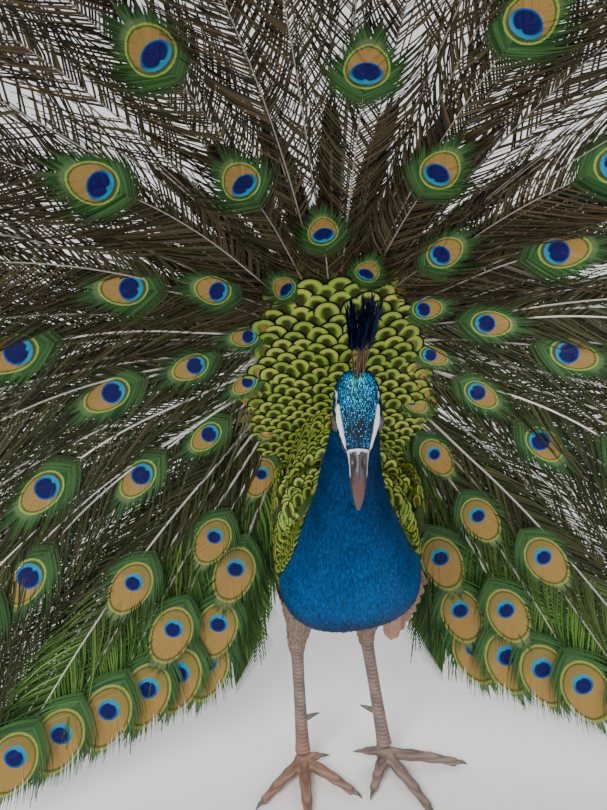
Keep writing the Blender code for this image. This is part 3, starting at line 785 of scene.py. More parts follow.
def faceLine(points, name):
    # 1 on the line, 0 off it
    ahead, over, side = headLocal(points)
    here = np.stack([ahead, over, np.abs(side)], axis=-1)
    best = np.full(here.shape[:-1], -9.0)
    for a, b in zip(face[name], face[name][1:]):
        a, b = np.array(a), np.array(b)
        run = b[:3] - a[:3]
        f = np.clip(((here - a[:3]) @ run) / (run @ run), 0, 1)
        gap = np.linalg.norm(here - a[:3] - f[..., None] * run, axis=-1)
        best = np.maximum(best, (a[3] + (b[3] - a[3]) * f - gap) / 0.0007)
    return ease(best * 0.5 + 0.5)


def mixed(first, second, amount):
    amount = np.asarray(amount)[..., None]
    return np.asarray(first) * (1 - amount) + np.asarray(second) * amount


def blueAt(points):
    wave = 0.5 + 0.5 * np.sin(points[..., 0] * 95 + 2.2 * np.sin(points[..., 2] * 37)) * np.sin(points[..., 2] * 61)
    # low: the lower neck and breast lighter; its last factor is painted shade where the breast turns under
    low = ease((0.56 - points[..., 2]) / 0.2) * (1 - 0.6 * ease((0.285 - points[..., 2]) / 0.05))
    colour = mixed(blues["deep"], blues["bright"], 0.04 + 0.18 * wave + 0.60 * low)
    edge = ease((np.abs(points[..., 0] - 0.01) - 0.035) / 0.05) * low
    colour = mixed(colour, blues["teal"], 0.25 * edge)
    # painted shade under the breast: darker towards the bottom, first to deep blue, then to near black
    colour = mixed(colour, blues["deep"], 0.92 * ease((0.350 - points[..., 2]) / 0.055))
    return mixed(colour, (0.003, 0.008, 0.030), 0.75 * ease((0.292 - points[..., 2]) / 0.030))


def backShare(points):
    # 1 on the scaled back, 0 on the blue side of its border
    rows = np.array(body["rows"])
    lean = rows[:, 1] * 0.6 - rows[:, 2] * 0.8
    t = np.interp(points[..., 1] * 0.6 - points[..., 2] * 0.8, lean, np.arange(len(rows)))
    centre, side, up = bodyFrame(t)
    away = points - centre[..., :3]
    angle = np.arctan2((away * up).sum(-1) / centre[..., 4], np.abs((away * side).sum(-1)) / centre[..., 3])
    return ease((angle - borderLow(t)) / 0.10 + 0.5) * ease((t - 2.7) / 0.3)


def markings(points):
    # by place on the bird: blue head, neck and breast, green back, dark belly, buff thighs
    x, y, z = np.moveaxis(points, -1, 0)
    colour = blueAt(points)
    green = mixed((0.020, 0.045, 0.012), (0.060, 0.110, 0.020), 0.5 + 0.5 * np.sin(x * 90) * np.sin(z * 70))
    dark = np.array((0.022, 0.017, 0.013))
    behind = ease((y + 0.02 - (z - 0.30) * 0.55) / 0.03)
    colour = mixed(colour, green, np.maximum(behind * ease((z - 0.27) / 0.05), backShare(points) * (z > 0.27)))
    for side in (-1, 1):
        middle, tall = armLine(side)
        near = np.stack([np.interp(y, middle[:, 1], middle[:, k]) for k in (0, 2)], axis=-1)
        gap = np.hypot((x - near[..., 0]) / 0.0092, (z - near[..., 1]) / (np.interp(y, middle[:, 1], tall) + 0.003))
        colour = mixed(colour, green * 0.6, ease((1.35 - gap) / 0.2) * (y > middle[0, 1] - 0.006))
    colour = mixed(colour, dark, np.maximum(behind * ease((0.31 - z) / 0.05), ease((y - 0.135) / 0.03)))
    thigh = ease((0.262 - z) / 0.02) * ease((y + 0.005) / 0.02)
    colour = mixed(colour, (0.235, 0.170, 0.125), thigh)
    legs = ease((0.166 - z) / 0.008) * ease((y + 0.12) / 0.02)
    grain = 0.5 + 0.35 * np.sin(z * 1366) + 0.15 * np.sin(z * 210 + x * 150)
    scaly = mixed((0.170, 0.110, 0.085), (0.360, 0.255, 0.205), grain)
    blotch = ease(0.5 + 1.4 * np.sin(z * 173 + 1.7 * np.sin(y * 140)) * np.sin(x * 210 + z * 61))
    scaly = mixed(scaly, mixed((0.120, 0.095, 0.085), (0.250, 0.200, 0.180), grain), 0.7 * blotch)
    rust = ease((0.075 - z) / 0.05) * ease(0.6 - (x - 0.01) / 0.05)
    colour = mixed(colour, mixed(scaly, mixed((0.230, 0.105, 0.055), (0.420, 0.235, 0.150), grain), 0.6 * rust), legs)
    ahead, over, side = headLocal(points)
    crown = ease((over - 0.004) / 0.006) * ease((ahead + 0.050) / 0.01)
    beneath = mixed((0.002, 0.045, 0.120), (0.001, 0.012, 0.022), ease((ahead + 0.022) / 0.02))
    colour = mixed(colour, beneath, crown)
    colour = mixed(colour, (0.010, 0.012, 0.020), faceLine(points, "lore"))
    for name in ("brow", "cheek", "spot"):
        colour = mixed(colour, (0.93, 0.93, 0.94), faceLine(points, name))
    return colour


def skinFinish():
    look = finish("skin", 0.62)
    look.socket("Specular IOR Level", 0.20)
    colour = look.attribute("coat", "Color")
    grain = look.noise(900.0, 3.0)
    look.colour(look.mix(look.times(grain, 0.35), colour, (0.02, 0.02, 0.02)))
    look.bump(grain, 0.25, 0.0004)
    return look.material


def eyePlace(side):
    return headPlace(0.0, 0.0, side * head["eyeSide"])


def legShells(name):
    (hock, hip), ankle = hockAndHip(name), np.array(leg["ankle"][name])
    start = hock + (hip - hock) / np.linalg.norm(hip - hock) * 0.012
    path = [start] + [hock + (ankle - hock) * f for f in (0.05, 0.13, 0.45, 0.80)] + [ankle * 0.95 + hock * 0.05]
    radii = [leg["shank"] * f for f in (1.18, 1.34, 1.02, 0.95, 1.08, 1.28)]
    shells = [scuted(limb(path, radii), 5.0, 210, 0.0046, 0.27)]
    ball = bmesh.new()
    bmesh.ops.create_uvsphere(ball, u_segments=20, v_segments=12, radius=0.0108)
    bmesh.ops.translate(ball, verts=ball.verts, vec=(ankle[0], ankle[1], 0.0108))
    shells.append(ball)
    for tip in leg["toes"][name]:
        tip, way = toeLine(name, tip)
        end = tip - way * 0.0135 + (0, 0, leg["toe"] * 0.72)
        begin = np.array([ankle[0], ankle[1], 0.011])
        t = np.linspace(0, 1, 5)
        path = begin + (end - begin) * t[:, None] + np.outer(0.0030 * np.sin(np.pi * t), (0, 0, 1))
        radii = [leg["toe"] * f for f in (1.50, 1.18, 1.10, 0.94, 0.74)]
        shells.append(scuted(limb(path, radii, False), 4.0, 110, 0.0034, 0.25, joints=True))
    begin = np.array([ankle[0], ankle[1], 0.016])
    end = begin + (np.array(leg["hind"][name]) - begin) * 0.66
    path = [begin + (end - begin) * f for f in (0, 0.4, 0.75, 1.0)]
    shells.append(scuted(limb(path, [leg["toe"] * f for f in (0.95, 0.90, 0.82, 0.62)], False), 3.0, 40, 0.0032, 0.25))
    return shells


def scuted(surface, end, steps, pitch, low, joints=False):
    # a limb with overlapping scutes on its front or top and fine grain behind
    length = np.linalg.norm(surface(np.array([0.0]), 0.0) - surface(np.array([end]), 0.0))

    def scaly(t, angle):
        base = surface(t, angle)
        centre = 0.5 * (surface(t, 0.0 * angle) + surface(t, 0.0 * angle + math.pi))
        run = t / end * length
        front = ease(0.5 + 1.2 * np.abs(np.sin(angle)) * np.where(joints, np.sign(np.sin(angle)), 1.0) - 0.3)
        plate = (run / pitch) % 1.0
        rise = 0.00040 * front * (plate ** 0.7 - 0.5) * (1 - ease((plate - 0.9) / 0.1))
        if joints:
            rise = rise + 0.00045 * np.sin(run / length * 3.5 * 2 * math.pi) * (run > 0.01)
        return base + unit(base - centre) * rise[..., None]

    return closedShell(scaly, 0.0, end, steps, 20)


def nearHead(points):
    return (headLocal(points)[0] > -0.030) & (np.linalg.norm(points - np.array(head["centre"]), axis=1) < 0.060)


skin = {"underCoat": 0.0026, "underFace": 0.0007, "voxel": 0.0027, "footVoxel": 0.0012, "brow": 0.0005,
        "cheek": 0.0002, "folds": 0.00016, "lids": 0.0006}


def makeSkin():
    shells = [closedShell(lambda t, a: bodyPoint(t, a, -skin["underCoat"]), 0.2, 11.0, 90, 40),
              closedShell(lambda t, a: headPoint(t, a, -skin["underFace"]), 0.0, 7.0, 30, 28)]
    for name in ("left", "right"):
        shells.append(closedShell(thighSurface(name), 0.0, 4.0, 16, 20))
    for side in (-1, 1):
        shells.append(closedShell(armSurface(side), 0.0, 5.0, 16, 20))
    bm = remeshed(shells, skin["voxel"], 3)
    near = {v.index for v, close in zip(bm.verts, nearHead(corners(bm))) if close}
    bmesh.ops.subdivide_edges(bm, edges=[e for e in bm.edges if e.verts[0].index in near and e.verts[1].index in near],
                              cuts=2, use_grid_fill=True)
    for _ in range(3):
        near = [v for v, close in zip(bm.verts, nearHead(corners(bm))) if close]
        softened(bm, near)
    bm.normal_update()
    points = corners(bm)
    normals = np.array([v.normal for v in bm.verts])
    cheek, brow = faceLine(points, "cheek"), faceLine(points, "brow")
    raised = skin["cheek"] * cheek + skin["brow"] * brow
    raised = raised + skin["folds"] * np.sin(points[:, 1] * 2600 + points[:, 2] * 900) * cheek  # fine folds
    for side in (-1, 1):  # skin draws in round the eye
        gap = np.linalg.norm(points - eyePlace(side), axis=1)
        raised = raised + skin["lids"] * ease((head["eyeRadius"] + 0.0016 - gap) / 0.0012)
    place(bm, points + normals * (raised * nearHead(points))[:, None])
    feet = remeshed(legShells("left") + legShells("right"), skin["footVoxel"], 1)
    points = corners(feet)
    points[:, 2] = np.where(points[:, 2] < skin["footVoxel"], 0.0, points[:, 2])  # flat soles
    place(feet, points)
    mesh = bpy.data.meshes.new("skin")
    feet.to_mesh(mesh)
    bm.from_mesh(mesh)
    bm.to_mesh(mesh)
    bm.free()
    feet.free()
    mesh.transform(Matrix.Translation(standShift))
    addLayer(mesh, "coat", withAlpha(markings(birdCorners(mesh))), "FLOAT_COLOR")
    mesh.shade_smooth()
    addPiece("skin", mesh, skinFinish(), "neck",
             ("neck_upper", "neck_middle", "neck_lower", "breast", "trunk", "vent", "head", "thigh_left",
              "thigh_right", "wing_left", "wing_right", "rump", "shank_left", "shank_right", "foot_left", "foot_right"))
    print("skin:", len(mesh.polygons), "faces")


# coats of the body

coat = {
    "neck": {"pitch": 0.0028, "length": 0.0088, "width": 0.0036, "rise": 0.12},
    "breast": {"pitch": 0.0034, "length": 0.0110, "width": 0.0046, "rise": 0.12},
    "belly": {"pitch": 0.0058, "length": 0.0200, "width": 0.0075, "rise": 0.20},
    "thigh": {"pitch": 0.0038, "length": 0.0120, "width": 0.0046, "rise": 0.16},
    "crown": {"pitch": 0.00182, "length": 0.0025, "width": 0.0021, "rise": 0.30},
    "cheek": {"pitch": 0.0019, "length": 0.0046, "width": 0.0021, "rise": 0.12},
}


def silkFinish(name, roughness, metallic, shine, border=0.45, gloss=0.25, tint=(1.0, 1.0, 1.0)):
    look = finish(name, roughness, metallic)
    colour = look.attribute("coat", "Color")
    across, along = look.uv("vane")
    tone = look.attribute("tone")
    edge = look.math("ABSOLUTE", across)
    dark = look.mix(look.times(edge, border), colour, (0.0, 0.0, 0.0))
    bright = look.mix(1.0, colour, (1.0 + shine, 1.0 + shine, 1.0 + shine), "MULTIPLY")
    look.colour(look.mix(look.times(tone, look.step(along, 0.2, 1.0)), dark, bright))
    look.socket("Specular IOR Level", gloss)
    look.socket("Specular Tint", (*tint, 1.0))
    return look.material


def bodyBake(t, angle, end=11.0):
    return np.stack([0.02 + 0.96 * (angle % (2 * math.pi)) / (2 * math.pi), 0.02 + 0.96 * t / end], axis=1)


def layCoat(name, surface, start, end, key, shape, material, slotName, low=lambda t: 0.0,
            high=lambda t: 2 * math.pi, wide=1.0, trimmed=False, bakeEnd=11.0, tint=None, **more):
    # tufts in rows over a stretch of surface; trimmed leaves out the bare skin of the face
    size = coat[key]
    t, angle = rowsOn(surface, start, end, lambda t: size["pitch"], low, high, wide)
    if trimmed:
        keep = bareSkin(surface(t, angle)) < 0.4
        t, angle = t[keep], angle[keep]
    count = len(t)
    length = size["length"] * chance.uniform(0.85, 1.15, count)
    points = tufts(surface, t, angle, shape, length, size["width"] * chance.uniform(0.85, 1.1, count),
                   size["rise"], 0.0012, **more)
    colour = markings(points[:, 0])
    if tint is not None:
        colour = tint(points[:, 0], colour)
    colour = np.broadcast_to(colour[:, None], points.shape)
    mesh = layBlades(name, shape, points, bodyBake(t, angle, bakeEnd),
                     {"vane": leafVane(shape, count), "coat": colour, "tone": chance.uniform(0, 1, count)})
    addPiece(name, mesh, material, slotName)
    print(name + ":", count, "tufts,", len(mesh.polygons) * 2, "triangles")


def borderLow(t):
    # where the green back begins, as an angle up from the side
    return np.interp(t, (2.7, 3.3, 4.0, 4.6, 5.3, 6.0, 7.0, 8.4, 9.3),
                     (1.57, 0.96, 0.50, 0.26, 0.08, -0.20, -0.40, -0.40, 1.57))


def makeCoats():
    silk = silkFinish("blueSilk", 0.50, 0.06, 0.7, gloss=0.08, tint=(0.05, 0.30, 0.80))
    down = silkFinish("brownDown", 0.70, 0.0, 0.3)
    bead = silkFinish("crownBeads", 0.34, 0.20, 1.8, 0.95, 0.30)
    leaf = bladeShape(2, 3)
    under = {"low": lambda t: math.pi - borderLow(t), "high": lambda t: 2 * math.pi + borderLow(t)}
    # upper neck all round; further back only below the border of the green back
    layCoat("neckCoat", bodyPoint, 0.25, 2.75, "neck", leaf, silk, "neck", wide=0.95)
    layCoat("breastCoat", bodyPoint, 2.75, 6.55, "breast", leaf, silk, "breast", wide=0.95, **under)
    layCoat("bellyCoat", bodyPoint, 6.5, 10.7, "belly", leaf, down, "vent", wide=0.9, spread=0.3, **under)
    for name in ("left", "right"):
        layCoat("thighCoat_" + name, thighSurface(name), 0.1, 4.0, "thigh", leaf, down, "thigh", wide=0.95,
                bakeEnd=4.0, spread=0.2)
    # head: bead-like crown feathers, then short cheek feathers round the bare white skin
    arc = lambda low, high: {"low": lambda t: math.radians(low), "high": lambda t: math.radians(high), "bakeEnd": 7.0}
    layCoat("crownCoat", headPoint, 0.35, 5.6, "crown", bladeShape(2, 2), bead, "head", trimmed=True,
            tint=beadTint, crown=0.35, **arc(36, 144))
    layCoat("cheekCoat", headPoint, 0.15, 6.6, "cheek", leaf, silk, "head", trimmed=True, **arc(140, 400))
    layCoat("napeCoat", headPoint, 5.5, 6.9, "cheek", leaf, silk, "head", **arc(30, 150))


def beadTint(points, colour):
    # bright and dark beads mixed; greener along the middle, darker over the brow
    ahead, over, side = headLocal(points)
    pick = chance.uniform(0, 1, len(points))
    middle = np.exp(-(side / 0.005) ** 2)
    bright = mixed((0.000, 0.225, 0.460), (0.000, 0.400, 0.270), middle * 0.8 * ease((-ahead) / 0.02))
    dark = np.array((0.0005, 0.008, 0.016))
    front = ease((ahead - 0.000) / 0.010)
    share = 0.18 + 0.38 * middle * front + 0.06 * front
    return mixed(bright * (0.45 + 1.0 * chance.uniform(0, 1, len(points)))[:, None], dark, (pick < share) * 1.0)


def bareSkin(points):
    bare = sum(faceLine(points, name) for name in ("brow", "cheek", "spot"))
    for side in (-1, 1):
        bare = np.maximum(bare, np.linalg.norm(points - eyePlace(side), axis=-1) < head["eyeRadius"] + 0.0012)
    return bare


# scale feathers of the back, and of the shield that stands up behind the neck

scales = {"centre": 0.25, "first": 0.060, "growth": 1.0330, "pitch": math.radians(4.5),
          "side": 0.088, "up": 0.136, "down": 0.235, "long": 0.110, "wide": 0.089}


def shieldShare(x, y):
    # 0 in the middle of the shield, 1 on its edge; the lower half is squarer
    power = np.where(y > 0, 2.1, 3.6)
    tall = np.where(y > 0, scales["up"], scales["down"])
    return ((np.abs(x) / scales["side"]) ** power + (np.abs(y) / tall) ** power) ** (1 / power)


def widen(y):
    # the lower half of the shield spreads, so that its sides hang straight
    return 1 + 0.16 * ease((0.03 - y) / 0.10) + 0.48 * ease((-0.06 - y) / 0.10)


def shieldPoint(t, angle):
    rho = np.asarray(t, float) / 10
    x, y = -rho * np.sin(angle), rho * np.cos(angle) - scales["centre"]
    share = np.clip(shieldShare(x, y), 0, 1.2)
    x = x * widen(y)
    way, reach = np.arctan2(x, y), np.hypot(x, y)
    return fanPoint(way, reach, 0.0285 - 0.0228 * share)


def scaleFinish():
    look = finish("scaleFeathers", 0.50, 0.15)
    look.socket("Specular IOR Level", 0.22)
    x, y = look.uv("vane")
    up = look.math("MAXIMUM", y, 0.0)
    radius = look.root(look.plus(look.math("POWER", x, 2.0), look.math("POWER", up, 2.0)))
    tone = look.attribute("tone")
    lime = look.mix(tone, (0.220, 0.330, 0.038), (0.430, 0.460, 0.075))
    green = look.mix(tone, (0.028, 0.100, 0.009), (0.090, 0.180, 0.014))
    middle = look.mix(look.attribute("tan"), (0.035, 0.034, 0.008), (0.400, 0.235, 0.070))
    wedge = look.math("MAXIMUM", look.step(look.math("ABSOLUTE", x), 0.12, 0.42), look.step(radius, 0.36, 0.66))
    colour = look.mix(look.step(radius, 0.34, 0.66), green, lime)
    colour = look.mix(wedge, middle, colour)
    colour = look.mix(look.times(look.step(radius, 0.72, 0.86), 0.35), colour, green)
    colour = look.mix(look.step(radius, 0.87, 0.90), colour, (0.002, 0.003, 0.001))
    look.colour(colour)
    waves = look.math("SINE", look.times(x, 42.0))
    look.bump(waves, 0.25, 0.0003)
    return look.material


def layScales(name, surface, t, angle, length, width, tan, material, bake, nodes=(), depth=0.002, rise=0.17):
    shape = bladeShape(4, 7)
    u, v = shape[0][:, 0], shape[0][:, 1]
    step = (v * 7 + 0.5).astype(int)
    v = 1 - (1 - v) ** 1.8
    shape = (np.stack([u, v], axis=1), shape[1])
    q = (v - 0.5) / 0.5
    outline = np.where(q > 0, np.clip(1 - np.clip(q, 0, 1) ** 2.6, 0, 1) ** (1 / 2.2), 1 - 0.35 * ease(-q))
    points = tufts(surface, t, angle, shape, length, width, rise, depth, curl=0.03, spread=0.05)
    # leafOutline made pointed tips; scales are round
    flat = leafOutline(v)
    middleLine = points[:, np.abs(u) < 1e-6]
    order = np.argsort(v[np.abs(u) < 1e-6])
    centre = middleLine[:, order][:, step]
    across = (points - centre) / np.maximum(flat, 0.02)[None, :, None]
    out = frameOn(surface, t, angle)[3]
    crowned = (width[:, None] * 0.03 * (u * outline) ** 2)[..., None]
    points = centre + across * outline[None, :, None] - out[:, None] * crowned
    vane = np.broadcast_to(np.stack([u * outline, q], axis=1)[None], (len(t), len(u), 2))
    mesh = layBlades(name, shape, points, bake, {"vane": vane, "tone": chance.uniform(0, 1, len(t)), "tan": tan})
    addPiece(name, mesh, material, "scales", nodes)
    print(name + ":", len(t), "scales,", len(mesh.polygons) * 2, "triangles")


def makeScales():
    look = scaleFinish()
    rows, angles, odd = [], [], 0
    rho = scales["first"]
    while rho < 0.39:
        spots = (np.arange(-17, 18) + 0.5 * odd) * scales["pitch"]
        rows.append(np.full(len(spots), rho) * (1 + chance.normal(0, 0.006, len(spots))))
        angles.append(spots + chance.normal(0, 0.004, len(spots)))
        rho, odd = rho * scales["growth"], 1 - odd
    rho, angle = np.concatenate(rows), np.concatenate(angles)
    x, y = rho * np.sin(angle), rho * np.cos(angle) - scales["centre"]
    share = shieldShare(x, y)
    keep = share < np.where(y > -0.02, 0.92, 1.03)
    rho, angle, share, x, y = rho[keep], angle[keep], share[keep], x[keep], y[keep]
    length = rho * scales["long"]
    width = rho * scales["wide"] * (1 + 0.8 * (widen(y) - 1))
    tan = ease((share - 0.80) / 0.12) * ease((y + 0.10) / 0.05)
    bake = np.stack([0.5 + x * 4.5, 0.62 + y * 2.4], axis=1)
    layScales("shieldScales", shieldPoint, rho * 10, angle, length, width, tan, look, bake, ("back_scales",))
    t, a = rowsOn(bodyPoint, 2.75, 9.25, lambda t: 0.0034 + 0.0005 * min(max(t - 3, 0), 4), borderLow,
                  lambda t: math.pi - borderLow(t) + 0.22 * math.exp(-((t - 4.1) / 0.6) ** 2), wide=2.9)
    size = 0.0052 + 0.0009 * np.clip(t - 3, 0, 4)
    layScales("mantleScales", bodyPoint, t, a, size * 2.2, size * 1.75, 0 * t, look, bodyBake(t, a),
              depth=-0.0004, rise=0.13)


makeSkin()
makeCoats()
makeScales()


# bill, eyes and lids

bill = {
    "upper": ((0.0225, -0.0010, 0.0088, 0.0074), (0.0320, -0.0012, 0.0074, 0.0068), (0.0410, -0.0022, 0.0068, 0.0062),
              (0.0500, -0.0045, 0.0058, 0.0052), (0.0590, -0.0082, 0.0040, 0.0040), (0.0665, -0.0132, 0.0011, 0.0013)),
    "lower": ((0.0225, -0.0065, 0.0078, 0.0060), (0.0340, -0.0074, 0.0062, 0.0048), (0.0440, -0.0089, 0.0052, 0.0036),
              (0.0540, -0.0112, 0.0032, 0.0023), (0.0592, -0.0127, 0.0010, 0.0009)),
    "base": (0.034, 0.026, 0.028), "tip": (0.115, 0.055, 0.042), "pale": (0.720, 0.710, 0.715),
}


def billSurface(key, sign):
    rows = bill[key]

    def surface(t, angle):
        t, angle = np.broadcast_arrays(np.asarray(t, float), np.asarray(angle, float))
        ahead, over, wide, high = np.moveaxis(catmull(rows, t), -1, 0)
        c, s = np.cos(angle), np.sin(angle)
        arch = np.where(s > 0, s ** 1.1 if sign < 0 else np.abs(s) ** 0.92, 0.16 * s)
        ridge = 0.07 * np.exp(-((angle - math.pi / 2) / 0.22) ** 2) if sign > 0 else 0.0
        x, y = c * wide, (arch + ridge) * high
        if sign > 0:  # nostrils and the soft swelling behind them
            for mid in (0.95, math.pi - 0.95):
                near = np.exp(-((t - 1.05) / 0.42) ** 2 - ((angle - mid) / 0.20) ** 2)
                swell = np.exp(-((t - 0.55) / 0.45) ** 2 - ((angle - mid) / 0.5) ** 2)
                x, y = x * (1 - 0.20 * near + 0.05 * swell), y * (1 - 0.24 * near + 0.07 * swell)
        return headPlace(ahead, over + sign * y, x)

    return surface


def meshOf(name, bm):
    bmesh.ops.recalc_face_normals(bm, faces=bm.faces)
    mesh = bpy.data.meshes.new(name)
    bm.to_mesh(mesh)
    bm.free()
    mesh.transform(Matrix.Translation(standShift))
    mesh.shade_smooth()
    return mesh


def hornFinish(name, roughness, base, tip, span, share, dirt, coatWeight, pale=None):
    # horn that runs from one colour to another over a span of the attribute "along"
    look = finish(name, roughness)
    grain = look.noise(260.0, 4.0)
    colour = look.mix(look.step(look.attribute("along"), *span), base, tip)
    colour = look.mix(look.times(grain, share), colour, dirt)
    look.colour(look.mix(look.attribute("pale"), colour, pale) if pale else colour)
    look.bump(grain, 0.15, 0.0003)
    look.socket("Coat Weight", coatWeight)
    return look


def makeBill():
    look = hornFinish("billHorn", 0.33, bill["base"], bill["tip"], (0.040, 0.052), 0.5, (0.04, 0.03, 0.03), 0.12,
                      bill["pale"])
    look.socket("Specular IOR Level", 0.35)
    for key, sign in (("upper", 1), ("lower", -1)):
        mesh = meshOf("bill_" + key, closedShell(billSurface(key, sign), 0.0, len(bill[key]) - 1.0, 44, 36))
        ahead, over, side = headLocal(birdCorners(mesh))
        addLayer(mesh, "along", ahead)
        # pale soft edge of the cere: a notched rim on top and a band along the gape
        point = 0.0030 * np.exp(-(side / 0.0011) ** 2)
        lobes = 0.0012 * np.exp(-((np.abs(side) - 0.0055) / 0.002) ** 2)
        rim = ease((0.0242 + point + lobes - ahead) / 0.0007)
        edge = ease((np.abs(side) - 0.0066 + (ahead - 0.03) * 0.06) / 0.0006) * ease((0.0445 - ahead) / 0.003)
        pale = np.maximum(rim, edge) if sign > 0 else ease((0.040 - ahead) / 0.003)
        addLayer(mesh, "pale", pale)
        addPiece("bill_" + key + "Horn", mesh, look.material, "bill", ("bill_" + key,))


def makeEyes():
    look = finish("eyeball", 0.06)
    ring = look.attribute("along")
    iris = look.mix(look.noise(1400.0, 3.0), (0.060, 0.022, 0.008), (0.150, 0.060, 0.020))
    colour = look.mix(look.step(ring, 0.36, 0.42), (0.001, 0.001, 0.001), iris)
    look.colour(look.mix(look.step(ring, 0.62, 0.72), colour, (0.015, 0.008, 0.006)))
    look.socket("Coat Weight", 1.0)
    look.socket("Coat Roughness", 0.03)
    lid = finish("lidSkin", 0.55)
    lid.colour(lid.mix(lid.noise(1800.0, 3.0), (0.030, 0.030, 0.036), (0.090, 0.088, 0.096)))
    for side, name in ((-1, "left"), (1, "right")):
        axis = unit(np.array([side * 1.0, 0, 0]) + 0.22 * headWay + 0.10 * headUp)
        centre = eyePlace(side)
        bm = bmesh.new()
        bmesh.ops.create_uvsphere(bm, u_segments=40, v_segments=24, radius=head["eyeRadius"])
        bmesh.ops.rotate(bm, verts=bm.verts, matrix=Vector((0, 0, 1)).rotation_difference(Vector(axis)).to_matrix())
        bmesh.ops.translate(bm, verts=bm.verts, vec=centre)
        mesh = meshOf("eye_" + name, bm)
        way = (birdCorners(mesh) - centre) / head["eyeRadius"]
        addLayer(mesh, "along", np.where(way @ axis > 0, np.linalg.norm(np.cross(way, axis), axis=1), 1.0))
        addPiece("eyeball_" + name, mesh, look.material, "eye", ("eye_" + name,))
        first = unit(np.cross(axis, headUp))
        second = np.cross(axis, first)

        def lidRing(t, angle, scale=1.0):
            # an almond opening: two soft folds round the ball
            turn = 2 * math.pi * t
            rim = 0.0050 * np.stack([np.cos(turn) * 1.06, np.sin(turn) * 0.86], axis=-1)
            deep = np.sqrt(np.maximum(0.0067 ** 2 - (rim ** 2).sum(-1), 0))
            way = rim[..., :1] * first + rim[..., 1:] * second
            middle = centre + way + deep[..., None] * axis
            size = 0.00065 * scale
            return middle + (unit(way) * np.cos(angle)[..., None] + axis * np.sin(angle)[..., None]) * size

        def outerFold(t, angle):
            middle = lidRing(t, angle * 0 + math.pi / 2, 0.0)
            away = middle - centre
            return (centre + away + (lidRing(t, angle, 1.1) - middle)
                    + (away - axis * (away @ axis)[..., None]) * 0.22 - axis * 0.0010)

        for part, surface in (("Lid", lidRing), ("Fold", outerFold)):
            shell = closedShell(surface, 0.0, 1.0, 48, 12)
            addPiece("eye%s_%s" % (part, name), meshOf(part + name, shell), lid.material, "head")


# crest

crest = {"plumes": 26, "length": 0.066, "spread": math.radians(20)}


def makeCrest():
    root = headPlace(-0.0325, 0.0085, 0.001)
    rise, spread = unit(np.array([0.08, 0.20, 1.0])), unit(np.array([0.50, 0.85, -0.18]))
    aside = unit(np.cross(rise, spread))
    count = crest["plumes"]
    angle = (np.arange(count) / (count - 1) - 0.5) * crest["spread"] + chance.normal(0, 0.035, count)
    length = crest["length"] * chance.uniform(0.78, 1.0, count)
    way = rise * np.cos(angle)[:, None] + spread * np.sin(angle)[:, None]
    way = unit(way + aside * chance.normal(0, 0.10, count)[:, None])
    across = unit(np.cross(way, aside))
    start = (root + spread * np.linspace(-0.0068, 0.0068, count)[:, None]
             + aside * chance.normal(0, 0.0011, count)[:, None])
    bend = chance.normal(0.006, 0.004, count)

    def onPlume(v, which):
        return (start[which] + way[which] * (length[which] * v)[..., None]
                + across[which] * (bend[which] * v * v)[..., None])

    shape = bladeShape(2, 10)
    u, v = bladeAxes(shape)
    which = np.arange(count)[:, None] + 0 * v.astype(int)
    full = v + 0 * which
    half = 0.00075 * (1 - 0.4 * full)
    points = (onPlume(full, which) + across[which] * (u * half)[..., None]
              + aside * ((1 - np.abs(u)) * half)[..., None])
    shaft = finish("crestShaft", 0.45)
    shaft.colour(shaft.mix(shaft.attribute("along"), (0.150, 0.085, 0.040), (0.016, 0.011, 0.010)))
    mesh = layBlades("crestShafts", shape, points, np.stack([angle + 0.5, 0.1 + 0 * angle], axis=1),
                     {"along": ease((full - 0.30) / 0.35)})
    addPiece("crestShafts", mesh, shaft.material, "crest", ("crest",))
    blade = bladeShape(1, 4)
    each = 42
    which = np.repeat(np.arange(count), each)
    share = np.tile(np.arange(each) / (each - 1), count)
    side = np.tile(np.where(np.arange(each) % 2, 1, -1), count)
    base = 0.50 + 0.49 * share
    run = 0.0120 * (1 - 0.30 * share) * chance.uniform(0.8, 1.15, len(which))
    slant = np.radians(40 - 30 * share) + chance.normal(0, 0.07, len(which))
    u, v = bladeAxes(blade)
    turned = slant[:, None] * (1 - 0.45 * v)
    grid = which[:, None] + 0 * v.astype(int)
    root = onPlume(base[:, None] + 0 * v, grid)
    forward = run[:, None] * v * np.cos(turned)
    out = side[:, None] * run[:, None] * v * np.sin(turned) + u * 0.0010 * (1 - 0.7 * v)
    points = root + way[grid] * forward[..., None] + across[grid] * out[..., None] \
        + aside * (chance.normal(0, 0.0012, len(which))[:, None] * v)[..., None]
    tip = finish("crestTips", 0.42, 0.55)
    shade = tip.attribute("tone")
    tip.colour(tip.mix(tip.step(shade, 0.35, 1.0), (0.001, 0.003, 0.014), (0.001, 0.030, 0.200)))
    mesh = layBlades("crestTips", blade, points, np.stack([0.3 + 0 * base, base], axis=1),
                     {"tone": chance.uniform(0, 1, len(which))})
    addPiece("crestTips", mesh, tip.material, "crest")


# claws and spurs

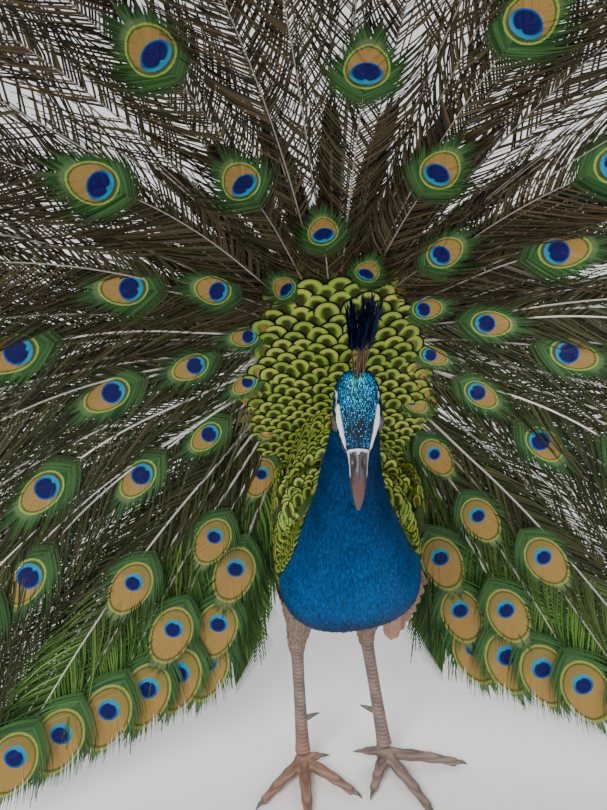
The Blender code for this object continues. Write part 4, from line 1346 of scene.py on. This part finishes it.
def makeClaws():
    look = hornFinish("clawHorn", 0.3, (0.180, 0.150, 0.125), (0.055, 0.045, 0.038), (0.0, 1.0), 0.45,
                      (0.05, 0.045, 0.04), 0.25)
    names = ("outer", "middle", "inner")
    for name in ("left", "right"):
        ankle = np.array(leg["ankle"][name])
        jobs = []
        for label, tip in zip(names, leg["toes"][name]):
            tip, way = toeLine(name, tip)
            jobs.append((label, tip - way * 0.0140 + (0, 0, leg["toe"] * 0.72), way, 0.0130, 0.0031, 0.0014))
        begin = np.array([ankle[0], ankle[1], 0.016])
        hind = np.array(leg["hind"][name])
        jobs.append(("hind", begin + (hind - begin) * 0.66, unit(hind - begin), 0.0125, 0.0027, 0.0))
        for label, start, way, length, radius, arch in jobs:
            t = np.array((0.0, 0.25, 0.5, 0.75, 1.0))
            drop = np.array((0.0, 0.0001, 0.0004, 0.0012, 0.0030)) if label != "hind" else 0.0016 * t ** 2
            path = start + way * (length * t)[:, None] + np.outer(arch * np.sin(np.pi * t) - drop, (0, 0, 1))
            surface = limb(path, radius * np.array((1.0, 0.92, 0.72, 0.42, 0.10)), False)
            floored = lambda t, a, s=surface: np.maximum(s(t, a), (-9.0, -9.0, 0.0003))
            mesh = meshOf("claw", closedShell(floored, 0.0, 4.0, 20, 14))
            addLayer(mesh, "along", ((birdCorners(mesh) - start) @ way) / length)
            addPiece("nail_%s_%s" % (name, label), mesh, look.material, "claw", ("claw_%s_%s" % (name, label),))
        inward = 1 if name == "left" else -1
        hock = np.array(leg["hock"][name])
        base = hock + (ankle - hock) * 0.66
        path = [base + (inward * x, y, z) for x, y, z in
                ((0.0040, 0.001, 0.0), (0.0080, 0.002, 0.0), (0.0125, 0.004, 0.0005), (0.0175, 0.005, 0.002),
                 (0.0215, 0.005, 0.004))]
        mesh = meshOf("spur", closedShell(limb(path, (0.0042, 0.0036, 0.0027, 0.0016, 0.0004)), 0.0, 4.0, 24, 16))
        addLayer(mesh, "along", np.linalg.norm(birdCorners(mesh) - base, axis=1) / 0.03)
        addPiece("spurHorn_" + name, mesh, look.material, "claw", ("spur_" + name,))


# stiff feathers: tail behind the train, and the chestnut flight feathers of the wings

quill = {"tail": 20, "tailAngle": math.radians(74), "tailLength": 0.350, "tailWidth": 0.026, "flight": 9,
         "flightWidth": 0.019}


def vaneFinish(name, light, dark, bars, roughness=0.6):
    look = finish(name, roughness)
    x, y = look.uv("vane")
    slant = look.plus(look.times(y, bars), look.times(look.math("ABSOLUTE", x), -6.0))
    ridges = look.plus(look.times(look.math("SINE", look.times(slant, 9.0)), 0.5), 0.5)
    speckle = look.noise(45.0, 5.0)
    colour = look.mix(look.plus(look.times(speckle, 0.8), look.times(ridges, 0.2)), light, dark)
    colour = look.mix(look.step(y, 0.93, 1.0), colour, light)
    shaft = look.math("LESS_THAN", look.math("ABSOLUTE", x), 0.05)
    look.colour(look.mix(look.times(shaft, 0.6), colour, light))
    look.bump(ridges, 0.3, 0.0004)
    return look.material


def makeTail():
    look = finish("tailVanes", 0.6)
    tone = look.attribute("tone")
    look.colour(look.mix(look.times(tone, look.noise(30.0)), (0.020, 0.014, 0.009), (0.130, 0.088, 0.052)))
    count = quill["tail"]
    angle = ((np.arange(count) + 0.5) / count * 2 - 1) * quill["tailAngle"] + chance.normal(0, 0.008, count)
    reach = quill["tailLength"] * (1 - 0.12 * np.abs(angle) / quill["tailAngle"])
    lines = featherLines(angle, reach, -(0.012 + 0.0012 * (np.arange(count) % 3)), reach + 9, 0 * angle, 0.0)
    shape, stalk = bladeShape(1, 3), bladeShape(2, 20)
    each = 150
    which = np.repeat(np.arange(count), 2 * each)
    share = np.tile(np.repeat((np.arange(each) + 0.5) / each, 2), count)
    side = np.tile(np.tile((-1, 1), each), count)
    total = len(which)
    length = quill["tailWidth"] * (0.55 + 0.45 * ease(share / 0.6)) * chance.uniform(0.88, 1.08, total)
    rootY = 0.060 + (reach[which] - 0.064) * share
    points = barbs(lines, which, rootY, side, np.radians(46 - 32 * share ** 3), np.full(total, 0.3), length,
                   np.full(total, 0.0023), chance.normal(0, 0.0008, total), chance.normal(0, 0.2, total),
                   shape, 0.4)[0]
    bake = np.stack([0.05 + 0.9 * which / count + 0.002 * side, share], axis=1)
    tones = chance.uniform(0, 1, total)
    u, v = bladeAxes(stalk)
    along = 0.056 + (reach[:, None] - 0.056) * v
    stalks = lines.world(np.arange(count)[:, None] + 0 * along.astype(int), u * 0.0011 * (1.1 - v), along,
                         0.0012 * (1 - abs(u)) + 0 * along)
    for name, keep in (("left", angle < 0), ("right", angle >= 0)):
        mine = keep[which]
        mesh = layBlades("tail_" + name, shape, points[mine], bake[mine], {"tone": tones[mine]})
        addPiece("tailFeathers_" + name, mesh, look.material, "tail", ("tail_" + name,))
        at = np.stack([angle[keep] / 3 + 0.5, 0.5 + 0 * angle[keep]], axis=1)
        mesh = layBlades("tailShafts", stalk, stalks[keep], at, {"tone": np.full(int(keep.sum()), 0.9)})
        addPiece("tailShafts_" + name, mesh, look.material, "quills")
    print("tail:", total, "barbs")


def makeWings():
    rufous = vaneFinish("flightVanes", (0.460, 0.270, 0.170), (0.190, 0.095, 0.055), 20.0)
    look = scaleFinish()
    shape = bladeShape(8, 18)
    u, v = shape[0][:, 0], shape[0][:, 1]
    for side, name in ((-1, "left"), (1, "right")):
        parts = []
        for n in range(quill["flight"]):
            share = n / (quill["flight"] - 1)
            base = catmull(body["rows"], np.array([6.35 + 1.1 * share]))[0]
            inset = 0.020 if side > 0 else 0.022
            root = np.array([base[0] + side * (base[3] - inset), base[1] + 0.0012 * n, base[2] - 0.004])
            spread = (-0.02 + 0.46 * share) if side > 0 else (-0.22 + 0.10 * share)
            way = unit(np.array([side * spread, 0.10 + 0.22 * share, -0.93]))
            across = unit(np.cross(way, (-0.25 * side, -1.0, 0.1)))
            length = (0.132 if side > 0 else 0.108) - 0.012 * share
            rounded = np.sqrt(np.clip(1 - np.clip((v - 0.86) / 0.14, 0, 1) ** 2, 0.0004, 1))
            outline = quill["flightWidth"] * (0.35 + 0.65 * ease(v / 0.5)) * rounded / 2
            shaft = 0.0008 * np.exp(-(u / 0.12) ** 2)
            bow = side * (0.006 * np.sin(np.pi * v) - 0.10 * (u * outline) ** 2 / 0.01 + shaft)
            parts.append(root + way * (length * v)[:, None] + across * (u * outline)[:, None]
                         + np.outer(bow, np.cross(across, way)))
        points = np.array(parts)
        bake = np.stack([np.linspace(0.1, 0.9, len(points)), 0.5 + np.zeros(len(points))], axis=1)
        mesh = layBlades("flight_" + name, shape, points, bake, {"vane": leafVane(shape, len(points))})
        addPiece("flightFeathers_" + name, mesh, rufous, "quills", ("quills_" + name,))
        low, high = (-2.5, 2.5) if side > 0 else (math.pi - 2.5, math.pi + 2.5)
        t, a = rowsOn(armSurface(side), 0.0, 5.0, lambda t: 0.0042, lambda t: low, lambda t: high, wide=2.6)
        size = np.full(len(t), 0.0064)
        layScales("wingScales_" + name, armSurface(side), t, a, size * 2.2, size * 1.75, 0.4 + 0 * t, look,
                  bodyBake(t, a, 5.0), depth=0.0005, rise=0.11)


makeBill()
makeEyes()
makeCrest()
makeClaws()
makeTail()
makeWings()


# floor, light and camera

studio = {"floor": (0.88, 0.87, 0.85), "world": 0.72, "key": 170.0, "fill": 40.0}


def makeStudio():
    bm = bmesh.new()
    bmesh.ops.create_grid(bm, x_segments=8, y_segments=8, size=9.0)
    mesh = bpy.data.meshes.new("floor")
    bm.to_mesh(mesh)
    bm.free()
    floor = linked("floor", mesh)
    look = finish("floorPaint", 0.75)
    look.colour(look.mix(look.noise(3.0), studio["floor"], (0.90, 0.89, 0.87)))
    mesh.materials.append(look.material)
    world = bpy.data.worlds.new("studio")
    bpy.context.scene.world = world
    world.use_nodes = True
    back = world.node_tree.nodes["Background"]
    back.inputs["Color"].default_value = (0.93, 0.96, 1.0, 1.0)
    back.inputs["Strength"].default_value = studio["world"]
    for name, at, size, power in (("key", (-1.6, -2.6, 3.4), 2.2, studio["key"]),
                                     ("fill", (2.4, -2.2, 2.2), 2.4, studio["fill"]),
                                     ("rear", (0.4, 2.6, 2.8), 2.5, studio["fill"])):
        lamp = bpy.data.lights.new(name, "AREA")
        lamp.energy = power
        lamp.size = size
        thing = linked(name, lamp)
        thing.location = at
        thing.rotation_euler = (Vector((0, 0, 0.6)) - Vector(at)).to_track_quat("-Z", "Y").to_euler()


view = {"place": (-0.042, -1.043, 1.191), "down": 33.1, "turn": -0.4, "lens": 39.4}


def makeCamera():
    data = bpy.data.cameras.new("camera")
    data.sensor_fit = "VERTICAL"
    data.sensor_height = 24.0
    data.lens = view["lens"]
    data.clip_start = 0.05
    camera = linked("camera", data)
    camera.location = Vector(view["place"]) + Vector(standShift)
    camera.rotation_euler = (math.radians(90 - view["down"]), 0.0, math.radians(view["turn"]))
    bpy.context.scene.camera = camera


makeStudio()
makeCamera()
